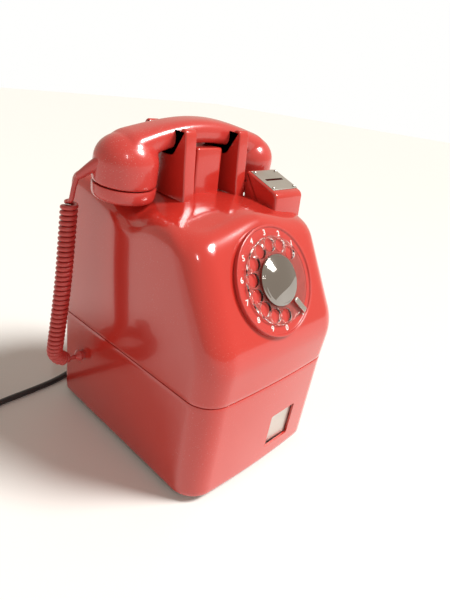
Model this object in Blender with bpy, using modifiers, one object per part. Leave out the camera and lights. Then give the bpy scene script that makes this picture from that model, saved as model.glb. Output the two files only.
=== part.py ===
"""A counter-top coin telephone: red two-part housing, rotary dial, fork cradle and handset.

Metres, +Z up.  The dial faces -Y, the handset lies along X on top, and the origin is on the
table under the middle of the body.
"""
import math

import bmesh
import bpy
import numpy as np
from mathutils import Vector

MM = 0.001
GAP = 0.3 * MM  # kept between pieces that touch
RUNNING = 0.6 * MM  # radial play of pieces that turn or slide

# Housing: a tapering box whose front leans back above the knuckle and ends in a domed deck.
DEPTH = 260.6 * MM  # knuckle to the foot of the back
HALF_WIDTH_FOOT = 95.4 * MM
HALF_WIDTH_SEAM = 94.3 * MM
HALF_WIDTH_KNUCKLE = 94.0 * MM
HALF_WIDTH_ROOF = 88.6 * MM
SIDE_TAPER = math.radians(1.3)  # how far the sides close towards the back
ROOF_Z = 300.0 * MM  # height that the walls aim at; the deck cuts them off below it
FOOT_Z = 8.0 * MM
SEAM_Z = 116.9 * MM
SEAM = 0.9 * MM  # the groove between the two shells
KNUCKLE_Z = 160.8 * MM
OVERHANG = math.radians(4.0)  # how far the lower front leans out
PANEL_LEAN = math.radians(27.24)  # how far the dial panel leans back
BACK_LEAN_LOW = math.radians(1.6)
BACK_LEAN_HIGH = math.radians(4.0)
FRONT_CROWN = 2.0 * MM
CORNER_FRONT = 27.0 * MM
CORNER_BACK = 14.0 * MM
KNUCKLE_BLEND = 16.0 * MM
WALL = 3.0 * MM

# Deck on top of the housing.
DECK_Z = 276.0 * MM
RIDGE_FOOT_Y = 34.5 * MM  # behind this the deck climbs to a level ridge along the back
RIDGE_TOP_Y = 92.5 * MM
RIDGE_Z = 281.0 * MM
RIDGE_CROWN = 0.35  # drop towards the sides per metre squared
DECK_FRONT_DROP = 6.0 * MM
DECK_CREST_Y = -67.5 * MM  # the deck keeps this far back's height up to the crest

# Dial, on the leaning panel.
DIAL_Z = 215.0 * MM
PLATE_RADIUS = 52.5 * MM
PLATE_THICK = 2.6 * MM
LIP_HEIGHT = 1.6 * MM
LIP_WIDTH = 2.2 * MM
DIAL_HOLE_RADIUS = 36.0 * MM
WHEEL_RADIUS = 41.5 * MM
WHEEL_THICK = 2.2 * MM
WHEEL_CLEAR = 1.0 * MM
FINGER_RADIUS = 6.3 * MM
FINGER_CIRCLE = 33.6 * MM
FIRST_HOLE = math.radians(41.8)
HOLE_STEP = math.radians(25.44)
HOLES = 10
CAP_RADIUS = 24.4 * MM
CAP_HEIGHT = 7.5 * MM
SHAFT_RADIUS = 4.0 * MM
STOP_ANGLE = math.radians(-53.0)
STOP_WIDTH = 5.5 * MM
STOP_THICK = 1.4 * MM

# Dial mechanism behind the panel.
CAN_RADIUS = 33.0 * MM
CAN_DEPTH = 24.0 * MM
GEAR_MODULE = 1.0 * MM
GEAR_TEETH = 30
PINION_TEETH = 10
GEAR_THICK = 2.5 * MM

# Coin head and slot plate, at the right front of the deck.
HEAD_LEFT = 44.0 * MM
HEAD_RIGHT = 88.5 * MM
HEAD_FRONT_Y = -58.0 * MM
HEAD_BACK_Y = -13.5 * MM
HEAD_FOOT_Z = 232.0 * MM
HEAD_TILT = math.radians(20.3)
PLATE_MIDDLE = Vector((67.0 * MM, -33.0 * MM, 289.4 * MM))
SLOT_PLATE = (40.5 * MM, 35.5 * MM, 1.2 * MM)
SLOT = (28.0 * MM, 3.2 * MM)

# Cradle: two forks and a block on the deck.
FORK_X = 35.3 * MM
FORK_WIDTH = 13.5 * MM
FORK_FRONT_Y = -13.0 * MM
FORK_REAR_Y = 49.5 * MM
PRONG = 12.0 * MM
FRONT_PRONG_Z = 336.0 * MM
REAR_PRONG_Z = 338.5 * MM
SADDLE_Z = 312.0 * MM
BLOCK_HALF = 17.0 * MM
BLOCK_FRONT_Y = -2.7 * MM
BLOCK_BACK_Y = 44.0 * MM
BLOCK_Z = 318.0 * MM

# Handset.
HANDSET_Y = 18.3 * MM
HANDSET_HALF = 110.0 * MM
CUP_RADIUS = 29.5 * MM
CUP_FLOOR_Z = 270.4 * MM
HANDSET_TILT = math.radians(6.0)
CAP_BAND = 13.0 * MM
HANDLE_TOP_Z = 343.5 * MM
HANDLE_ARCH = 2.5  # drop of the handle per metre squared
HANDLE_HALF_Y = 17.5 * MM
HANDLE_HALF_Z = 11.0 * MM
CUP_WALL = 3.2 * MM

# Hook plungers in the two saddles.
PLUNGER_RADIUS = 3.0 * MM

# Coin return in the lower front.
RETURN_X = 26.7 * MM
RETURN_Z = 47.0 * MM
RETURN_SIZE = (41.3 * MM, 44.1 * MM)
RETURN_DEPTH = 34.0 * MM
FLAP_THICK = 1.6 * MM
PIN_RADIUS = 1.5 * MM

# Feet and base.
FOOT_RADIUS = 10.0 * MM
FOOT_FRONT_X = 80.0 * MM
FOOT_REAR_X = 75.5 * MM
FOOT_FRONT_Y = -79.5 * MM
FOOT_REAR_Y = 95.0 * MM
BASE_THICK = 2.0 * MM
BASE_Z = FOOT_Z + 0.5 * MM

# Lock in the back wall, and the necks of the two cord bushings.
LOCK_X = 55.0 * MM
LOCK_Z = 60.0 * MM
LOCK_NECK = 8.0 * MM
INLET_NECK = 5.0 * MM
GLAND_NECK = 5.0 * MM

# Cords.
LINE_DIAMETER = 7.0 * MM
LINE_EXIT = Vector((-4.0 * MM, 133.5 * MM, 17.0 * MM))
COIL_MIDDLE = Vector((-216.0 * MM, 182.8 * MM, 0.0))
COIL_RADIUS = 38.5 * MM
COIL_HALF = 10.5 * MM
COIL_HEIGHT = 14.0 * MM
PLUG_SIZE = (30.0 * MM, 22.0 * MM, 14.0 * MM)
CURL_DIAMETER = 17.0 * MM
STRAND_DIAMETER = 4.6 * MM
INLET = Vector((-91.0 * MM, 79.5 * MM, 76.8 * MM))

# The routes of the free cords in millimetres, chosen by hand along the way each one lies.
LINE_ROUTE = [(-4, 134.1, 17), (-4, 141, 16.8), (-6.5, 150, 14), (-14, 158.5, 8.6), (-26, 162.5, 4.6),
              (-40, 161.5, 3.6), (-62, 155.5, 3.6), (-90, 148, 3.6), (-120, 145, 3.6), (-181.2, 144.3, 3.6)]
BOOT_ROUTE = [(-105, 23.5, 303.5), (-110, 33, 296), (-115.5, 45, 286.5)]
UPPER_TAIL_ROUTE = [(-115.8, 45.6, 286), (-118.5, 51, 281), (-121.5, 57.5, 274), (-122, 59.5, 266)]
CURL_ROUTE = [(-117, 56.5, 262), (-119.5, 58.5, 228), (-123, 60.5, 185), (-127.5, 62.5, 145),
              (-130.5, 65.5, 115), (-128.5, 72.5, 96), (-120, 78, 83.5), (-111, 79.5, 78.2)]

# Colour of the paint and of the moulded red plastic.
RED = (0.62, 0.035, 0.025)


# ---------------------------------------------------------------- helpers

def clear_scene():
    for thing in list(bpy.data.objects):
        bpy.data.objects.remove(thing)


def make_collection(name):
    group = bpy.data.collections.new(name)
    bpy.context.scene.collection.children.link(group)
    return group


def material(name, colour, roughness, metallic=0.0, alpha=1.0):
    found = bpy.data.materials.get(name)
    if found:
        return found
    made = bpy.data.materials.new(name)
    made.use_nodes = True
    shader = made.node_tree.nodes["Principled BSDF"]
    shader.inputs["Base Color"].default_value = (*colour, 1.0)
    shader.inputs["Roughness"].default_value = roughness
    shader.inputs["Metallic"].default_value = metallic
    shader.inputs["Alpha"].default_value = alpha
    made.diffuse_color = (*colour, alpha)
    return made


def place(name, mesh, finish=None, frame=None, location=(0, 0, 0), rotation=(0, 0, 0)):
    """Puts a mesh in the scene as a named part, or as a cutter if it has no finish."""
    thing = bpy.data.objects.new(name, mesh)
    thing.location = location
    thing.rotation_euler = rotation
    thing.parent = frame
    if finish is None:
        CUTTERS.objects.link(thing)
        thing.hide_render = True
        thing.display_type = "WIRE"
    else:
        PARTS.objects.link(thing)
        mesh.materials.append(finish)
    return thing


def bm_to_mesh(name, bm, smooth_angle=None):
    mesh = bpy.data.meshes.new(name)
    bm.normal_update()
    bm.to_mesh(mesh)
    bm.free()
    if smooth_angle is not None:
        mesh.shade_smooth()
        mesh.set_sharp_from_angle(angle=math.radians(smooth_angle))
    return mesh


def box_mesh(name, size, middle=(0, 0, 0), bevel=0.0, segments=2):
    """A box of full edge lengths, its edges rounded by bevel."""
    bm = bmesh.new()
    bmesh.ops.create_cube(bm, size=1.0)
    bmesh.ops.scale(bm, vec=size, verts=bm.verts)
    if bevel:
        bmesh.ops.bevel(bm, geom=bm.edges[:], offset=bevel, segments=segments, profile=0.5,
                        affect="EDGES")
    bmesh.ops.translate(bm, vec=middle, verts=bm.verts)
    return bm_to_mesh(name, bm, 35)


def cylinder_mesh(name, radius, low, high, steps=24, middle=(0, 0)):
    """An upright cylinder between two heights."""
    bm = bmesh.new()
    bmesh.ops.create_cone(bm, cap_ends=True, segments=steps, radius1=radius, radius2=radius,
                          depth=high - low)
    bmesh.ops.translate(bm, vec=(middle[0], middle[1], (low + high) / 2), verts=bm.verts)
    return bm_to_mesh(name, bm, 35)


def arc(middle, radius, start, stop, steps):
    """Points along an arc in the profile plane, angles in degrees from +X."""
    turns = np.radians(np.linspace(start, stop, steps + 1))
    return [(middle[0] + radius * math.cos(t), middle[1] + radius * math.sin(t)) for t in turns]


def turned_mesh(name, profile, steps=40, closed=False):
    """A profile of radius and height, run down its outer side, turned once about Z."""
    mesh = bpy.data.meshes.new(name + "_profile")
    edges = [(i, i + 1) for i in range(len(profile) - 1)]
    if closed:
        edges.append((len(profile) - 1, 0))
    edges = [(a, b) for a, b in edges if profile[a][0] or profile[b][0]]
    mesh.from_pydata([(r, 0.0, z) for r, z in profile], edges, [])
    thing = bpy.data.objects.new(name + "_profile", mesh)
    CUTTERS.objects.link(thing)
    screw = thing.modifiers.new("turn", "SCREW")
    screw.steps = steps
    screw.render_steps = steps
    screw.use_merge_vertices = True
    screw.merge_threshold = 0.00001
    graph = bpy.context.evaluated_depsgraph_get()
    made = bpy.data.meshes.new_from_object(thing.evaluated_get(graph))
    bpy.data.objects.remove(thing)
    bm = bmesh.new()
    bm.from_mesh(made)
    bmesh.ops.remove_doubles(bm, verts=bm.verts, dist=0.000005)
    return bm_to_mesh(name, bm, 35)


def outline_mesh(name, outlines, thickness, bevel=0.0):
    """A flat outline, with any holes after the first one, of that thickness about Z = 0."""
    curve = bpy.data.curves.new(name + "_outline", "CURVE")
    curve.dimensions = "2D"
    curve.fill_mode = "BOTH"
    curve.extrude = thickness / 2
    for points in outlines:
        spline = curve.splines.new("POLY")
        spline.points.add(len(points) - 1)
        for point, (x, y) in zip(spline.points, points):
            point.co = (x, y, 0.0, 1.0)
        spline.use_cyclic_u = True
    thing = bpy.data.objects.new(name + "_outline", curve)
    CUTTERS.objects.link(thing)
    graph = bpy.context.evaluated_depsgraph_get()
    made = bpy.data.meshes.new_from_object(thing.evaluated_get(graph))
    bpy.data.objects.remove(thing)
    bm = bmesh.new()
    bm.from_mesh(made)
    bmesh.ops.remove_doubles(bm, verts=bm.verts, dist=0.000005)
    bmesh.ops.dissolve_limit(bm, angle_limit=math.radians(0.5), verts=bm.verts, edges=bm.edges)
    if bevel:
        rims = [edge for edge in bm.edges
                if edge.is_manifold and edge.calc_face_angle() > math.radians(60)]
        bmesh.ops.bevel(bm, geom=rims, offset=bevel, segments=2, profile=0.5, affect="EDGES")
    return bm_to_mesh(name, bm, 35)


def smooth_route(points, step):
    """A smooth curve through points in millimetres, read at about that step in metres."""
    knots = np.array(points, float) * MM
    ends = np.vstack([2 * knots[0] - knots[1], knots, 2 * knots[-1] - knots[-2]])
    line = []
    for a, b, c, d in zip(ends, ends[1:], ends[2:], ends[3:]):
        count = max(2, round(float(np.linalg.norm(c - b)) / step))
        for t in np.linspace(0, 1, count, endpoint=False):
            line.append(0.5 * (2 * b + (c - a) * t + (2 * a - 5 * b + 4 * c - d) * t ** 2
                               + (3 * b - a - 3 * c + d) * t ** 3))
    line.append(knots[-1])
    return line


def tube_mesh(name, line, radii, resolution=3):
    """A round tube along a line, its radius running evenly through the given radii."""
    curve = bpy.data.curves.new(name + "_line", "CURVE")
    curve.dimensions = "3D"
    curve.bevel_depth = 1.0
    curve.bevel_resolution = resolution
    curve.use_fill_caps = True
    spline = curve.splines.new("POLY")
    spline.points.add(len(line) - 1)
    along = np.linspace(0, 1, len(line))
    sizes = np.interp(along, np.linspace(0, 1, len(radii)), radii)
    for point, place_at, size in zip(spline.points, line, sizes):
        point.co = (*place_at, 1.0)
        point.radius = float(size)
    thing = bpy.data.objects.new(name + "_line", curve)
    CUTTERS.objects.link(thing)
    graph = bpy.context.evaluated_depsgraph_get()
    made = bpy.data.meshes.new_from_object(thing.evaluated_get(graph))
    bpy.data.objects.remove(thing)
    bm = bmesh.new()
    bm.from_mesh(made)
    bmesh.ops.remove_doubles(bm, verts=bm.verts, dist=0.00001)
    return bm_to_mesh(name, bm, 50)


def cut(thing, *cutters, operation="DIFFERENCE"):
    for cutter in cutters:
        boolean = thing.modifiers.new(operation.lower(), "BOOLEAN")
        boolean.operation = operation
        boolean.solver = "EXACT"
        boolean.object = cutter


def empty_frame(name, location, rotation=(0, 0, 0), parent=None):
    frame = bpy.data.objects.new(name, None)
    frame.location = location
    frame.rotation_euler = rotation
    frame.parent = parent
    PARTS.objects.link(frame)
    return frame


# ---------------------------------------------------------------- housing surface

FRONT_FOOT_Y = -DEPTH / 2 + (KNUCKLE_Z - FOOT_Z) * math.tan(OVERHANG)


def front_y(z):
    """Front wall below the knuckle, dial panel above it."""
    if z <= KNUCKLE_Z:
        return FRONT_FOOT_Y - (z - FOOT_Z) * math.tan(OVERHANG)
    return -DEPTH / 2 + (z - KNUCKLE_Z) * math.tan(PANEL_LEAN)


def back_y(z):
    low = DEPTH / 2 - (min(z, SEAM_Z) - FOOT_Z) * math.tan(BACK_LEAN_LOW)
    return low - max(z - SEAM_Z, 0.0) * math.tan(BACK_LEAN_HIGH)


def half_width(z):
    return float(np.interp(z, [FOOT_Z, SEAM_Z, KNUCKLE_Z, ROOF_Z],
                           [HALF_WIDTH_FOOT, HALF_WIDTH_SEAM, HALF_WIDTH_KNUCKLE,
                            HALF_WIDTH_ROOF]))


def deck_z(x, y):
    """Domed deck: level in the middle, falling to the sides and the front, with a ridge behind."""
    climb = min(max((y - RIDGE_FOOT_Y) / (RIDGE_TOP_Y - RIDGE_FOOT_Y), 0.0), 1.0)
    climb = climb * climb * (3 - 2 * climb)
    ahead = min(-(y - DECK_CREST_Y) / (30 * MM), 0.0)
    front = -DECK_FRONT_DROP * math.exp(ahead)
    crown = 0.6 + 6.0 * math.exp(ahead)
    seat = 1.6 * math.exp(-((y - 8.3 * MM) / (24 * MM)) ** 2)
    flatten = 1 + math.exp(ahead) * (x / (50 * MM)) ** 2
    seated = DECK_Z + front - (crown / flatten + seat) * x * x
    return seated * (1 - climb) + (RIDGE_Z - RIDGE_CROWN * x * x) * climb


def half_outline(z, crown=0.0, inset=0.0):
    """Right half of the plan outline at a height, from the front middle to the back middle."""
    width = half_width(z) - inset
    front = front_y(z) + inset
    back = back_y(z) - inset
    corner = CORNER_FRONT - inset
    rear = CORNER_BACK - inset
    flat = width - corner
    points = [(flat * t, front + crown * t * t) for t in np.linspace(0, 1, 5, endpoint=False)]
    front += crown
    for turn in np.linspace(0, math.pi / 2, 5, endpoint=False):
        points.append((flat + corner * math.sin(turn), front + corner * (1 - math.cos(turn))))
    close = math.tan(SIDE_TAPER)
    start, stop = front + corner, back - rear
    for t in np.linspace(0, 1, 7, endpoint=False):
        points.append((width - close * t * (stop - start), start + t * (stop - start)))
    rear_x = width - close * (stop - start) - rear
    for turn in np.linspace(0, math.pi / 2, 3, endpoint=False):
        points.append((rear_x + rear * math.cos(turn), stop + rear * math.sin(turn)))
    points += [(rear_x * (1 - t), back) for t in np.linspace(0, 1, 4)]
    return np.array([(x, y, z) for x, y in points])


def bend(before, corner, after, steps):
    """Points of a parabola that rounds a corner between two points."""
    return [(1 - t) ** 2 * before + 2 * t * (1 - t) * corner + t * t * after
            for t in np.linspace(0, 1, steps + 1)]


def wall_meets_deck(low, high):
    """Where the straight wall line from low to high reaches the deck."""
    inside, outside = 0.0, 1.0
    for _ in range(30):
        middle = (inside + outside) / 2
        point = low + (high - low) * middle
        if point[2] < deck_z(point[0], point[1]):
            inside = middle
        else:
            outside = middle
    return low + (high - low) * inside


def upper_lines(bottom_z):
    """Lines up the right half of the upper housing, from the seam to the deck's middle line."""
    seam = half_outline(bottom_z, FRONT_CROWN)
    knuckle = half_outline(KNUCKLE_Z)
    roof = half_outline(ROOF_Z)
    edge = np.array([wall_meets_deck(a, b) for a, b in zip(knuckle, roof)])
    first = edge[0][1] + 30 * MM
    last = edge[-1][1] - 30 * MM
    lines = []
    for i, (a, b, c) in enumerate(zip(seam, knuckle, edge)):
        share = i / (len(seam) - 1)
        spine_y = first + (last - first) * share
        blend = (9 + 11 * math.sin(math.pi / 2 * min(abs(c[0]) / (70 * MM), 1.0))) * MM
        if share > 0.6:
            blend = float(np.interp(share, [0.6, 0.8, 1.0], [20, 12, 12])) * MM
        inward = np.array([0.0, spine_y]) - c[:2]
        inward = c[:2] + inward * blend / np.linalg.norm(inward)
        on_deck = np.array([*inward, deck_z(*inward)])
        below = b + (a - b) * KNUCKLE_BLEND / np.linalg.norm(a - b)
        above = b + (c - b) * KNUCKLE_BLEND / np.linalg.norm(c - b)
        under_edge = c + (b - c) * blend / np.linalg.norm(b - c)
        line = [a, *bend(below, b, above, 3), (above + under_edge) / 2]
        line += bend(under_edge, c, on_deck, 4)
        for t in (0.33, 0.67, 1.0):
            x = on_deck[0] * (1 - t)
            y = on_deck[1] * (1 - t) + spine_y * t
            line.append(np.array([x, y, deck_z(x, y)]))
        lines.append(line)
    return lines


def lower_lines():
    foot = half_outline(FOOT_Z + 2 * MM, FRONT_CROWN)
    inner = half_outline(FOOT_Z, FRONT_CROWN, inset=1.5 * MM)
    seam = half_outline(SEAM_Z - SEAM / 2, FRONT_CROWN)
    return [[a, b, b + (c - b) / 2, c] for a, b, c in zip(inner, foot, seam)]


def skin_mesh(name, lines, floor=False):
    """Triangles across neighbouring lines, their diagonals turned so that none lies flat on the
    mirror plane; floor closes the first ring with one face."""
    bm = bmesh.new()
    grid = [[bm.verts.new(point) for point in line] for line in lines]
    for number, (left, right) in enumerate(zip(grid, grid[1:])):
        for a, b, c, d in zip(left, right, right[1:], left[1:]):
            if 2 * number < len(grid):
                bm.faces.new((a, b, d))
                bm.faces.new((b, c, d))
            else:
                bm.faces.new((a, b, c))
                bm.faces.new((a, c, d))
    if floor:
        bm.faces.new([line[0] for line in reversed(grid)])
    return bm_to_mesh(name, bm, 40)


def mirrored(thing):
    mirror = thing.modifiers.new("mirror", "MIRROR")
    mirror.use_axis = (True, False, False)
    mirror.use_clip = True
    mirror.merge_threshold = 0.00005
    return thing


def shelled(thing):
    solidify = thing.modifiers.new("wall", "SOLIDIFY")
    solidify.thickness = WALL
    solidify.offset = -1.0
    solidify.use_even_offset = True
    return thing


# ---------------------------------------------------------------- shared materials and frames

clear_scene()
PARTS = make_collection("rotary_coin_telephone")
CUTTERS = make_collection("cutters")

RED_PAINT = material("red_paint", RED, 0.22)
RED_PLASTIC = material("red_plastic", RED, 0.25)
RED_VINYL = material("red_vinyl", (0.5, 0.04, 0.03), 0.4)
CLEAR = material("clear_plastic", (0.9, 0.85, 0.85), 0.08, 0.0, 0.35)
CHROME = material("chrome", (0.75, 0.75, 0.76), 0.08, 1.0)
STEEL = material("plated_steel", (0.55, 0.55, 0.53), 0.35, 1.0)
ALUMINIUM = material("aluminium", (0.72, 0.70, 0.64), 0.4, 1.0)
BRASS = material("brass", (0.7, 0.55, 0.25), 0.3, 1.0)
BLACK_PLASTIC = material("black_plastic", (0.03, 0.03, 0.03), 0.45)
RUBBER = material("rubber", (0.02, 0.02, 0.02), 0.8)
BLACK_VINYL = material("black_vinyl", (0.02, 0.02, 0.022), 0.45)

DIAL_FRAME = empty_frame("dial_axis", (0, front_y(DIAL_Z), DIAL_Z),
                         (math.pi / 2 - PANEL_LEAN, 0, 0))
HEAD_FRAME = empty_frame("slot_plate_frame", PLATE_MIDDLE, (HEAD_TILT, 0, 0))
RETURN_FRAME = empty_frame("coin_return_frame", (RETURN_X, front_y(RETURN_Z) + 0.7 * FRONT_CROWN, RETURN_Z),
                           (math.pi / 2 + OVERHANG, 0, 0))
HANDSET_MIDDLE = Vector((0.0, HANDSET_Y, HANDLE_TOP_Z - HANDLE_HALF_Z))
HANDSET_FRAME = empty_frame("handset_frame", HANDSET_MIDDLE, (HANDSET_TILT, 0, 0))


# ---------------------------------------------------------------- housing

def housing_outside():
    """The whole housing as one solid grown by the gap, which trims what stands on it."""
    lines = upper_lines(SEAM_Z)
    for line in lines:
        line.insert(0, line[0] - np.array([0, 0, 20 * MM]))
    solid = mirrored(place("housing_outside", skin_mesh("housing_outside", lines, floor=True)))
    grow = solid.modifiers.new("grow", "DISPLACE")
    grow.strength = GAP
    grow.mid_level = 0.0
    return solid


def add_housing():
    upper = shelled(mirrored(place("upper_housing",
                                   skin_mesh("upper_housing", upper_lines(SEAM_Z + SEAM / 2)),
                                   RED_PAINT)))
    lower = shelled(mirrored(place("lower_housing", skin_mesh("lower_housing", lower_lines()),
                                   RED_PAINT)))
    dial_hole = place("dial_hole", cylinder_mesh("dial_hole", DIAL_HOLE_RADIUS, -12 * MM, 12 * MM, 40),
                      frame=DIAL_FRAME)
    cut(upper, dial_hole, SLOT_PASSAGE, *PLUNGER_HOLES)
    width, height = RETURN_SIZE
    return_hole = place("return_hole", box_mesh("return_hole", (width - 2 * MM, height - 2 * MM, 16 * MM)),
                        frame=RETURN_FRAME)
    inlet_hole = place("inlet_hole", cylinder_mesh("inlet_hole", INLET_NECK + GAP, -12 * MM, 12 * MM),
                       location=INLET, rotation=(0, math.pi / 2, 0))
    line_hole = place("line_hole", cylinder_mesh("line_hole", GLAND_NECK + GAP, -12 * MM, 12 * MM),
                      location=(LINE_EXIT.x, DEPTH / 2, LINE_EXIT.z), rotation=(math.pi / 2, 0, 0))
    lock_hole = place("lock_hole", cylinder_mesh("lock_hole", LOCK_NECK + GAP, -12 * MM, 12 * MM),
                      location=(LOCK_X, DEPTH / 2, LOCK_Z), rotation=(math.pi / 2, 0, 0))
    cut(lower, return_hole, inlet_hole, line_hole, lock_hole)


def add_base():
    """Steel base plate inside the foot of the housing, on four rubber feet."""
    inset = WALL + 1.4 * MM
    right = half_outline(FOOT_Z, FRONT_CROWN, inset=inset)
    outline = [(x, y) for x, y, _ in right] + [(-x, y) for x, y, _ in right[-2:0:-1]]
    plate = outline_mesh("base_plate", [outline], BASE_THICK)
    place("base_plate", plate, STEEL, location=(0, 0, BASE_Z + BASE_THICK / 2))
    top = BASE_Z - GAP
    for name, x, y in (("foot_front_left", -FOOT_FRONT_X, FOOT_FRONT_Y),
                       ("foot_front_right", FOOT_FRONT_X, FOOT_FRONT_Y),
                       ("foot_rear_left", -FOOT_REAR_X, FOOT_REAR_Y),
                       ("foot_rear_right", FOOT_REAR_X, FOOT_REAR_Y)):
        profile = [(0, top), (FOOT_RADIUS - 1.5 * MM, top), (FOOT_RADIUS, top - 1 * MM),
                   (FOOT_RADIUS - 1 * MM, 0.8 * MM), (FOOT_RADIUS - 2 * MM, 0), (0, 0)]
        place(name, turned_mesh(name, profile, 20), RUBBER, location=(x, y, 0))


# ---------------------------------------------------------------- coin head

def slot_passage():
    """A cutter down the coin path, from above the head into the housing."""
    length, width = SLOT
    mesh = box_mesh("slot_passage", (length + 2 * MM, width + 1.4 * MM, 80 * MM),
                    (0, 0, -30 * MM))
    return place("slot_passage", mesh, frame=HEAD_FRAME)


def add_coin_head():
    """Red block with a sloping top that carries the slotted plate and its four screws."""
    width, length, thick = SLOT_PLATE
    slope = math.tan(HEAD_TILT)
    rim = thick - 0.2 * MM

    def top(y):
        return PLATE_MIDDLE.z + rim + (y - PLATE_MIDDLE.y) * slope

    side = [(HEAD_FRONT_Y, HEAD_FOOT_Z), (HEAD_BACK_Y, HEAD_FOOT_Z), (HEAD_BACK_Y, top(HEAD_BACK_Y)),
            (HEAD_FRONT_Y + 2 * MM, top(HEAD_FRONT_Y + 2 * MM))]
    mesh = outline_mesh("coin_head", [side], HEAD_RIGHT - HEAD_LEFT, bevel=2.6 * MM)
    head = place("coin_head", mesh, RED_PAINT, location=((HEAD_LEFT + HEAD_RIGHT) / 2, 0, 0),
                 rotation=(math.pi / 2, 0, math.pi / 2))
    recess = place("plate_recess", box_mesh("plate_recess", (width + 2 * GAP, length + 2 * GAP, 10 * MM),
                                            (0, 0, 5 * MM)), frame=HEAD_FRAME)
    cut(head, HOUSING, recess, SLOT_PASSAGE)
    plate = place("coin_slot_plate", box_mesh("coin_slot_plate", (width, length, thick),
                                              (0, 0, GAP + thick / 2), 0.3 * MM), ALUMINIUM, HEAD_FRAME)
    slot = place("coin_slot", box_mesh("coin_slot", (SLOT[0], SLOT[1], 10 * MM)), frame=HEAD_FRAME)
    cut(plate, slot)
    face = GAP + thick + GAP
    profile = [(0, face + 1.45 * MM), *arc((0, face), 1.5 * MM, 62, 0, 3), (0, face)]
    corners = [(sx * (width / 2 - 3.4 * MM), sy * (length / 2 - 3.2 * MM))
               for sx in (-1, 1) for sy in (-1, 1)]
    for number, (x, y) in enumerate(corners, 1):
        place(f"slot_plate_screw_{number}", turned_mesh("screw", profile, 12), STEEL, HEAD_FRAME, (x, y, 0))


def add_coin_path():
    """Chute from the slot down to the cash box."""
    slope = math.tan(HEAD_TILT)
    x = PLATE_MIDDLE.x
    y = PLATE_MIDDLE.y + 40 * MM * slope
    chute = box_mesh("coin_chute", (36 * MM, 10 * MM, 132 * MM), (x, y, 162 * MM))
    chute = place("coin_chute", chute, STEEL)
    bore = place("chute_bore", box_mesh("chute_bore", (32 * MM, 6 * MM, 150 * MM), (x, y, 162 * MM)))
    cut(chute, bore)
    low, high = Vector((22, -69.5, 13)) * MM, Vector((86, 36.5, 92)) * MM
    size, middle = high - low, (high + low) / 2
    box = place("cash_box", box_mesh("cash_box", size, middle, 2 * MM, 1), STEEL)
    hollow = place("cash_box_hollow", box_mesh("cash_box_hollow", size - Vector((3, 3, 0)) * MM,
                                               middle + Vector((0, 0, 1.5 * MM))))
    cut(box, hollow)


# ---------------------------------------------------------------- dial

def add_dial():
    """Number plate, clear finger wheel, chrome cap and finger stop, in the panel's own frame."""
    low = GAP
    high = low + PLATE_THICK
    lip = PLATE_RADIUS - LIP_WIDTH
    bore = SHAFT_RADIUS + 4 * MM
    profile = [(lip - 0.6 * MM, high), (lip, high + LIP_HEIGHT - 0.4 * MM),
               (lip + 0.5 * MM, high + LIP_HEIGHT),
               (PLATE_RADIUS - 0.7 * MM, high + LIP_HEIGHT), (PLATE_RADIUS, high + LIP_HEIGHT - 0.8 * MM),
               (PLATE_RADIUS, low), (bore, low), (bore, high)]
    place("number_plate", turned_mesh("number_plate", profile, 44, True), RED_PLASTIC, DIAL_FRAME)

    wheel_low = high + WHEEL_CLEAR
    wheel_high = wheel_low + WHEEL_THICK
    hub = SHAFT_RADIUS + GAP
    profile = [(hub, wheel_high), (WHEEL_RADIUS - 0.6 * MM, wheel_high),
               (WHEEL_RADIUS, wheel_high - 0.6 * MM),
               (WHEEL_RADIUS, wheel_low + 0.4 * MM), (WHEEL_RADIUS - 0.4 * MM, wheel_low), (hub, wheel_low)]
    wheel = place("finger_wheel", turned_mesh("finger_wheel", profile, 40, True), CLEAR, DIAL_FRAME)
    for number in range(HOLES):
        turn = FIRST_HOLE + HOLE_STEP * number
        hole = cylinder_mesh("finger_hole", FINGER_RADIUS, 0, 20 * MM, 14,
                             (FINGER_CIRCLE * math.cos(turn), FINGER_CIRCLE * math.sin(turn)))
        cut(wheel, place(f"finger_hole_{number + 1}", hole, frame=DIAL_FRAME))

    seat = wheel_high + GAP
    face = CAP_RADIUS - 2.4 * MM
    dome = [(0, seat + CAP_HEIGHT)]
    for t in (0.3, 0.55, 0.78, 1.0):
        dome.append((face * t, seat + 3.6 * MM + (CAP_HEIGHT - 3.6 * MM) * math.cos(math.pi / 2 * t)))
    profile = dome + [(face + 0.5 * MM, seat + 2.4 * MM), (CAP_RADIUS - 0.4 * MM, seat + 1.8 * MM),
                      (CAP_RADIUS, seat + 1.2 * MM), (CAP_RADIUS, seat), (0, seat)]
    place("centre_cap", turned_mesh("centre_cap", profile, 32), CHROME, DIAL_FRAME)
    shaft = cylinder_mesh("dial_shaft", SHAFT_RADIUS, -CAN_DEPTH + 3 * MM, wheel_high, 24)
    place("dial_shaft", shaft, STEEL, DIAL_FRAME)

    blade = wheel_high + 1.0 * MM
    top = blade + STOP_THICK
    root, rim = WHEEL_RADIUS + 2.2 * MM, WHEEL_RADIUS + 2.2 * MM + STOP_THICK
    tip = CAP_RADIUS + 2.4 * MM
    outline = [(tip, blade + 0.4 * MM), (tip + 1 * MM, blade), (root, blade), (root, high + GAP),
               (rim + 2.5 * MM, high + GAP), (rim + 2.5 * MM, high + GAP + STOP_THICK),
               (rim, high + GAP + STOP_THICK),
               (rim, top - 0.6 * MM), (rim - 0.6 * MM, top), (tip + 1 * MM, top), (tip, top - 0.5 * MM)]
    arm = empty_frame("finger_stop_frame", (0, 0, 0), (0, 0, STOP_ANGLE), DIAL_FRAME)
    place("finger_stop", outline_mesh("finger_stop", [outline], STOP_WIDTH), STEEL, arm,
          rotation=(math.pi / 2, 0, 0))


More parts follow.
